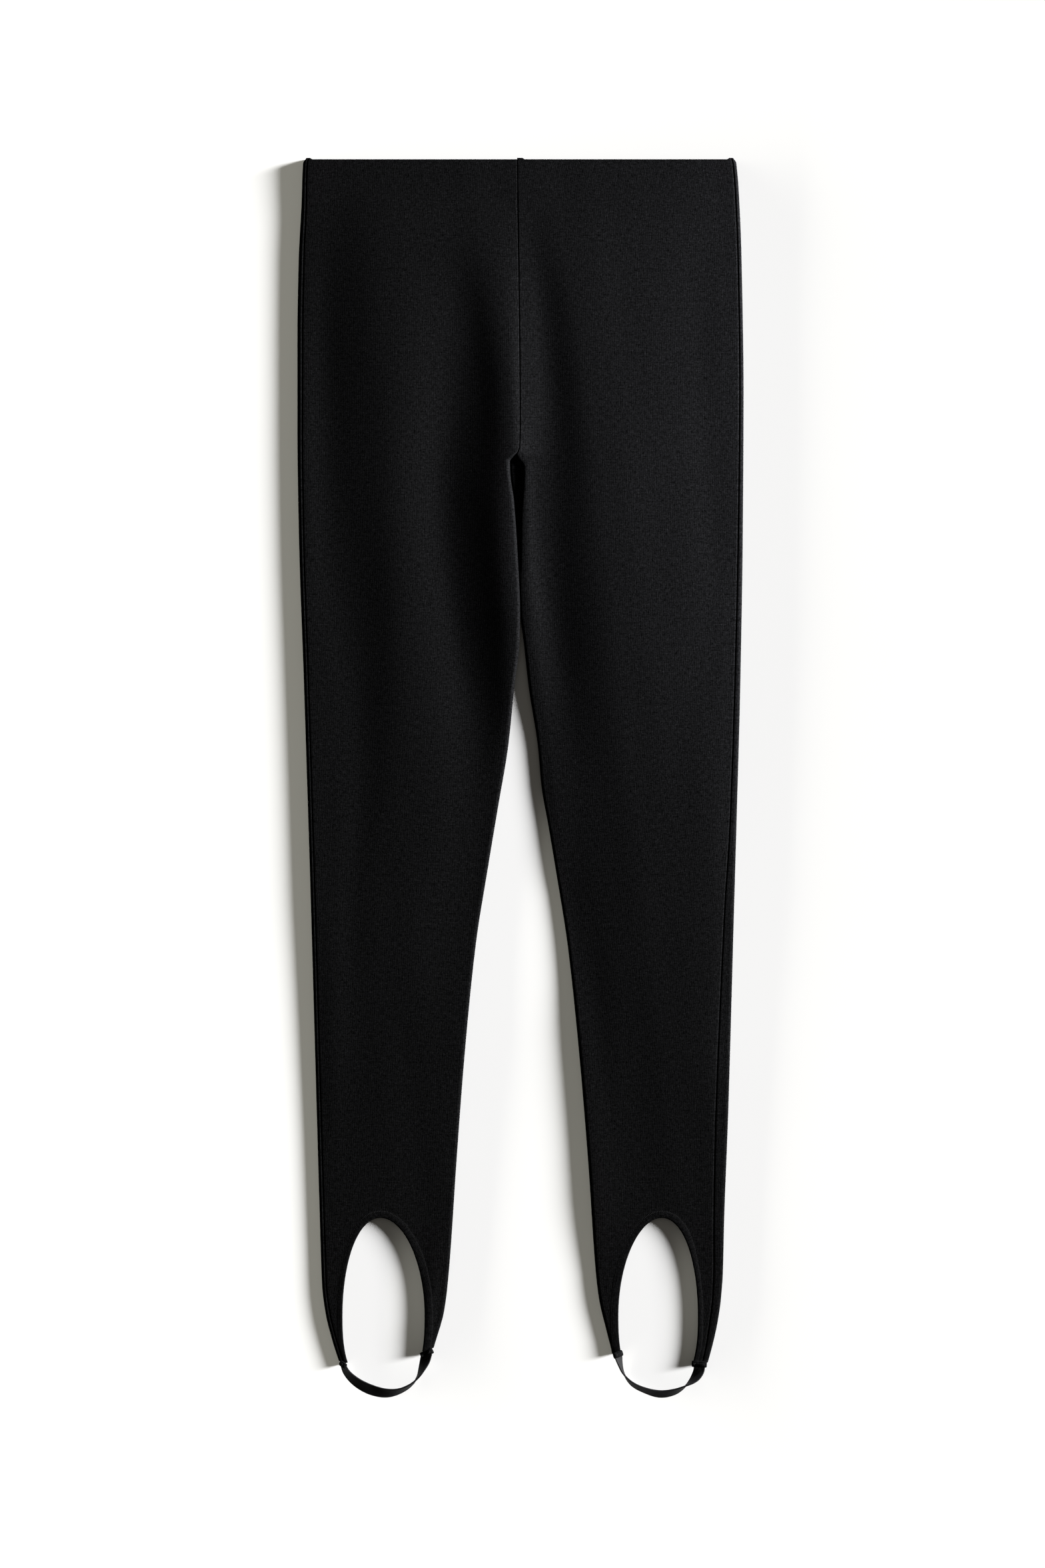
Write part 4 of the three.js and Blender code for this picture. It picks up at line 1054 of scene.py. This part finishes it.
def knit_finish(name, dark, light, fleck):
    """A firm double knit: fine wales and loops, lighter fibres here and there, and a soft nap."""
    finish = Finish(name)
    vector, u, v = finish.uv()
    across = finish.math("FRACT", finish.math("MULTIPLY", u, 1 / KNIT_SIZE["wale"]))
    side = finish.math("ABSOLUTE", finish.math("SUBTRACT", across, 0.5))
    slant = finish.math("ADD", finish.math("MULTIPLY", v, 1 / KNIT_SIZE["course"]), side)
    loop = finish.wave(slant, 1)
    hollow = finish.math("MULTIPLY", finish.math("POWER", side, 2.0), KNIT_HEIGHT["curve"])
    wale = finish.math("SUBTRACT", 1.0, hollow)
    wobble = finish.noise(vector, KNIT_GRAIN["wobble"], 2)
    height = finish.scaled_sum((wale, 1.0), (loop, KNIT_HEIGHT["loop"]), (wobble, KNIT_HEIGHT["wobble"]))
    fine = finish.noise(vector, KNIT_GRAIN["fine"], 2, 0.6)
    threads = finish.noise(vector, KNIT_GRAIN["long"], 2, 0.5, stretch=KNIT_STRETCH["threads"])
    rows = finish.noise(vector, KNIT_GRAIN["long"], 2, 0.5, stretch=KNIT_STRETCH["rows"])
    broad = finish.math("SUBTRACT", finish.noise(vector, KNIT_GRAIN["broad"], 3), 0.5)
    grain = {"fine": fine, "threads": threads, "rows": rows, "broad": broad}
    tone = finish.scaled_sum(*((grain[key], share) for key, share in KNIT_SHARE.items()))
    middle = tuple((a + b) / 2 for a, b in zip(dark, light))
    colour = finish.ramp(tone, (0.38, dark), (0.5, middle), (0.6, light), (0.7, fleck))
    nap = finish.bump(finish.noise(vector, KNIT_GRAIN["nap"], 3), KNIT_SIZE["nap"], 0.6)
    relief = finish.bump(height, KNIT_SIZE["relief"], 0.7, nap)
    return finish.complete(colour, KNIT_FACE, fine, relief)


def elastic_finish(name, dark, light):
    """Narrow woven elastic with lengthwise ribs, crossed by fine rows, with a low shine."""
    finish = Finish(name)
    vector, u, v = finish.uv()
    ribs = finish.wave(u, ELASTIC_SIZE["rib"])
    rows = finish.wave(v, ELASTIC_SIZE["row"])
    weave = finish.math("MULTIPLY", ribs, rows)
    height = finish.scaled_sum((weave, ELASTIC_HEIGHT["weave"]), (ribs, ELASTIC_HEIGHT["rib"]))
    grain = finish.noise(vector, ELASTIC_GRAIN, 3)
    tone = finish.scaled_sum((weave, ELASTIC_SHARE), (grain, 1.0))
    colour = finish.ramp(tone, (0.35, dark), (0.68, light))
    relief = finish.bump(height, ELASTIC_SIZE["relief"], 0.8)
    return finish.complete(colour, ELASTIC_FACE, grain, relief)


def thread_finish(name, dark, light):
    """Black spun sewing thread."""
    finish = Finish(name)
    twist = finish.noise(finish.place(), THREAD_TWIST, 2)
    colour = finish.ramp(twist, (0.35, dark), (0.7, light))
    return finish.complete(colour, THREAD_FACE, twist)


def floor_finish(name, dark, light):
    """Pale matt paper, very slightly cloudy."""
    finish = Finish(name)
    tone = finish.noise(finish.place(), FLOOR_CLOUDS, 2)
    colour = finish.ramp(tone, (0.3, dark), (0.7, light))
    return finish.complete(colour, FLOOR_FACE)


KNIT = knit_finish(
    "black_knit", (0.0005, 0.00052, 0.0005), (0.0053, 0.00535, 0.0055), (0.0105, 0.0105, 0.0109)
)
ELASTIC = elastic_finish("black_elastic", (0.0035, 0.0035, 0.0037), (0.0085, 0.0085, 0.009))
THREAD = thread_finish("black_thread", (0.002, 0.002, 0.002), (0.006, 0.006, 0.0063))
FLOOR = floor_finish("pale_floor", (0.825, 0.825, 0.822), (0.835, 0.835, 0.832))
STITCHES = stitch_tree()

# Camera, floor and lights
view_height = PHOTO["height"] * PHOTO["mm_per_pixel"] * MM
camera = bpy.data.cameras.new("camera")
camera.sensor_fit = "VERTICAL"
camera.sensor_height = 36
camera.lens = camera.sensor_height * CAMERA_HEIGHT / view_height
camera.clip_end = 50
eye = bpy.data.objects.new("camera", camera)
middle = (PHOTO["middle_x"], LENGTH / 2 - PHOTO["middle_down"])
eye.location = (middle[0] * MM, middle[1] * MM, CAMERA_HEIGHT + CLOTH_HEIGHT)
bpy.context.scene.collection.objects.link(eye)
bpy.context.scene.camera = eye

FLOOR_REACH = 6  # in metres
FLOOR_DROP = 0.0002
FLOOR_CORNERS = ((-1, -1), (1, -1), (1, 1), (-1, 1))
floor_mesh = bpy.data.meshes.new("floor")
corners = [(x * FLOOR_REACH, y * FLOOR_REACH, -FLOOR_DROP) for x, y in FLOOR_CORNERS]
floor_mesh.from_pydata(corners, [], [(0, 1, 2, 3)])
floor = bpy.data.objects.new("floor", floor_mesh)
bpy.context.scene.collection.objects.link(floor)
floor_mesh.materials.append(FLOOR)


def aim(name, lamp, place, target):
    """A light at a place, in metres, turned to its target."""
    obj = bpy.data.objects.new(name, lamp)
    obj.location = place
    obj.rotation_euler = (Vector(target) - Vector(place)).to_track_quat("-Z", "Y").to_euler()
    bpy.context.scene.collection.objects.link(obj)
    return obj


# The window: a low, soft light from the right and a little from the waist
window = bpy.data.lights.new("window_light", "SUN")
window.energy = 17.7
window.angle = radians(11)
window.color = (0.995, 0.995, 1.0)
window_light = aim("window_light", window, (2.8, 0.75, 0.55), (0, 0, 0))

# A nearer, bluish lamp adds light to the cloth at the top right
lamp = bpy.data.lights.new("side_lamp", "SPOT")
lamp.energy = 85
lamp.color = (0.9, 0.9, 1.0)
lamp.spot_size = radians(120)
lamp.spot_blend = 0.6
lamp.shadow_soft_size = 0.045
side_lamp = aim("side_lamp", lamp, (0.587, 0.333, 0.122), (-0.197, 0.115, 0))

# A low white card on the left lightens the floor, and the shadow beside the garment with it
card = bpy.data.lights.new("floor_card", "AREA")
card.shape = "RECTANGLE"
card.size = 8
card.size_y = 0.34
card.energy = 560
card.color = (1.0, 0.985, 0.86)
floor_card = aim("floor_card", card, (-3, 0, 0.17), (0, 0, 0.17))
floor_card.visible_camera = False


def light_only(light, name, objects):
    """The light falls on these objects alone, and everything still casts its shadow."""
    lit = bpy.data.collections.new(name)
    for obj in objects:
        lit.objects.link(obj)
    light.light_linking.receiver_collection = lit


def shadows_from(light, name, objects):
    """Only these objects cast a shadow in this light."""
    blockers = bpy.data.collections.new(name)
    for obj in objects:
        blockers.objects.link(obj)
    light.light_linking.blocker_collection = blockers


light_only(floor_card, "floor_alone", [floor])

world = bpy.data.worlds.new("studio")
bpy.context.scene.world = world
world.use_nodes = True
background = world.node_tree.nodes["Background"].inputs
background["Color"].default_value = (1.0, 0.94, 0.82, 1)
background["Strength"].default_value = 0.06
bpy.context.scene.view_settings.view_transform = "Standard"

# The garment

garment = []  # every piece
leg_cloth = []  # the panels and their hems
CUT_TO = 1024  # a panel's area is taken down to here, beside the sewn ends
CUT_ROWS = 400
CUT_EXTRA = 1.02  # the flat width, for the greatest girth


def dress(piece, material, slot, *nodes):
    """A finished piece gets its material and its body, and the nodes that it replaces; the slot is not used.
    """
    garment.append(piece)
    piece.data.materials.clear()
    piece.data.materials.append(material)
    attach(piece, "root")
    if nodes:
        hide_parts(*nodes)


def panel_cut(leg, line):
    """The flat size of a panel and its area, from its own outline."""
    down = np.linspace(0, CUT_TO, CUT_ROWS)
    inset, z = line(leg, down)[:2]
    girth = np.hypot(np.diff(inset), np.diff(z)).sum(axis=1)
    across = oval_x(leg.name, 1, down) - oval_x(leg.name, -1, down)
    opening = np.where(down > OVAL["widest"] - OVAL["rise"], across, 0)
    area = np.trapz(girth - opening, down)
    return (girth.max() * MM * CUT_EXTRA, HEM_LEVEL * MM), area * MM * MM


def coverstitch(leg, face):
    """Short needle marks that cross the outer line of a hem, as places and directions."""
    border, length = oval_border(leg.name)
    normal = outward_normals(border)
    width = hem_width(leg.name, border)
    lowest = min(seam["down"] for seam in seam_ends(leg.name)) - TICK_END
    places, directions = [], []
    for i in range(int(length[-1] / TICK_PITCH)):
        x, down, nx, nd, wide = (
            np.interp((i + 0.5) * TICK_PITCH, length, values)
            for values in (border[:, 0], border[:, 1], normal[:, 0], normal[:, 1], width)
        )
        px = x + nx * (wide - TICK_INSET)
        pd = down + nd * (wide - TICK_INSET)
        if pd > lowest:
            continue
        if face == "front":
            z = float(top_surface(leg, np.array([px]), np.array([pd]))[0]) + HEM_LIFT - TICK_SUNK["front"]
        else:
            z = HEM_THICK - TICK_SUNK["back"]
        places.append((px, LENGTH / 2 - pd, z))
        directions.append((nx, -nd, TICK_DIP))
    return places, directions


def bartack(seam):
    """Slanting threads over both faces of a sewn end, as places and directions."""
    matrix = seam_matrix(seam)
    places, directions = [], []
    for i in range(TACKS):
        share = -1 + 2 * i / (TACKS - 1)
        slant = TACK_SLANT if i % 2 else -TACK_SLANT
        for side in (1, -1):
            local = Vector((share * seam["across"] * TACK_REACH, 0, side * seam["through"] / 2))
            places.append(tuple(matrix @ local))
            directions.append(tuple(matrix.to_3x3() @ Vector((slant, 1, 0))))
    return places, directions


for leg in LEGS.values():
    block = hem_cutter(leg)
    for face, line in (("front", front_line), ("back", back_line)):
        piece = panel(f"{face}_panel_{leg.name}", leg, line)
        cut(piece, block)
        turned = hem(f"{face}_hem_{leg.name}", leg, face)
        dress(piece, KNIT, "knit", f"{face}_{leg.name}")
        dress(turned, KNIT, "knit")
        marks = stitches(f"{face}_coverstitch_{leg.name}", *coverstitch(leg, face), NEEDLE_MARK, THREAD)
        dress(marks, THREAD, "knit")
        flat, area = panel_cut(leg, line)
        leg_cloth += [piece, turned]
    bpy.data.objects.remove(block)
    dress(strap(f"elastic_{leg.name}", leg.name), ELASTIC, "elastic", f"strap_{leg.name}")

for seam in SEWN_ENDS:
    place = f"{seam['leg']}_{seam['at']}"
    dress(sewn_end(f"sewn_end_{place}", seam), KNIT, "knit", f"strap_seam_{place}")
    dress(stitches(f"bartack_{place}", *bartack(seam), BARTACK, THREAD), THREAD, "knit")

light_only(side_lamp, "garment_alone", garment)
# The straps lie so low in the photograph that they cast no long shadow
shadows_from(window_light, "leg_cloth", leg_cloth)
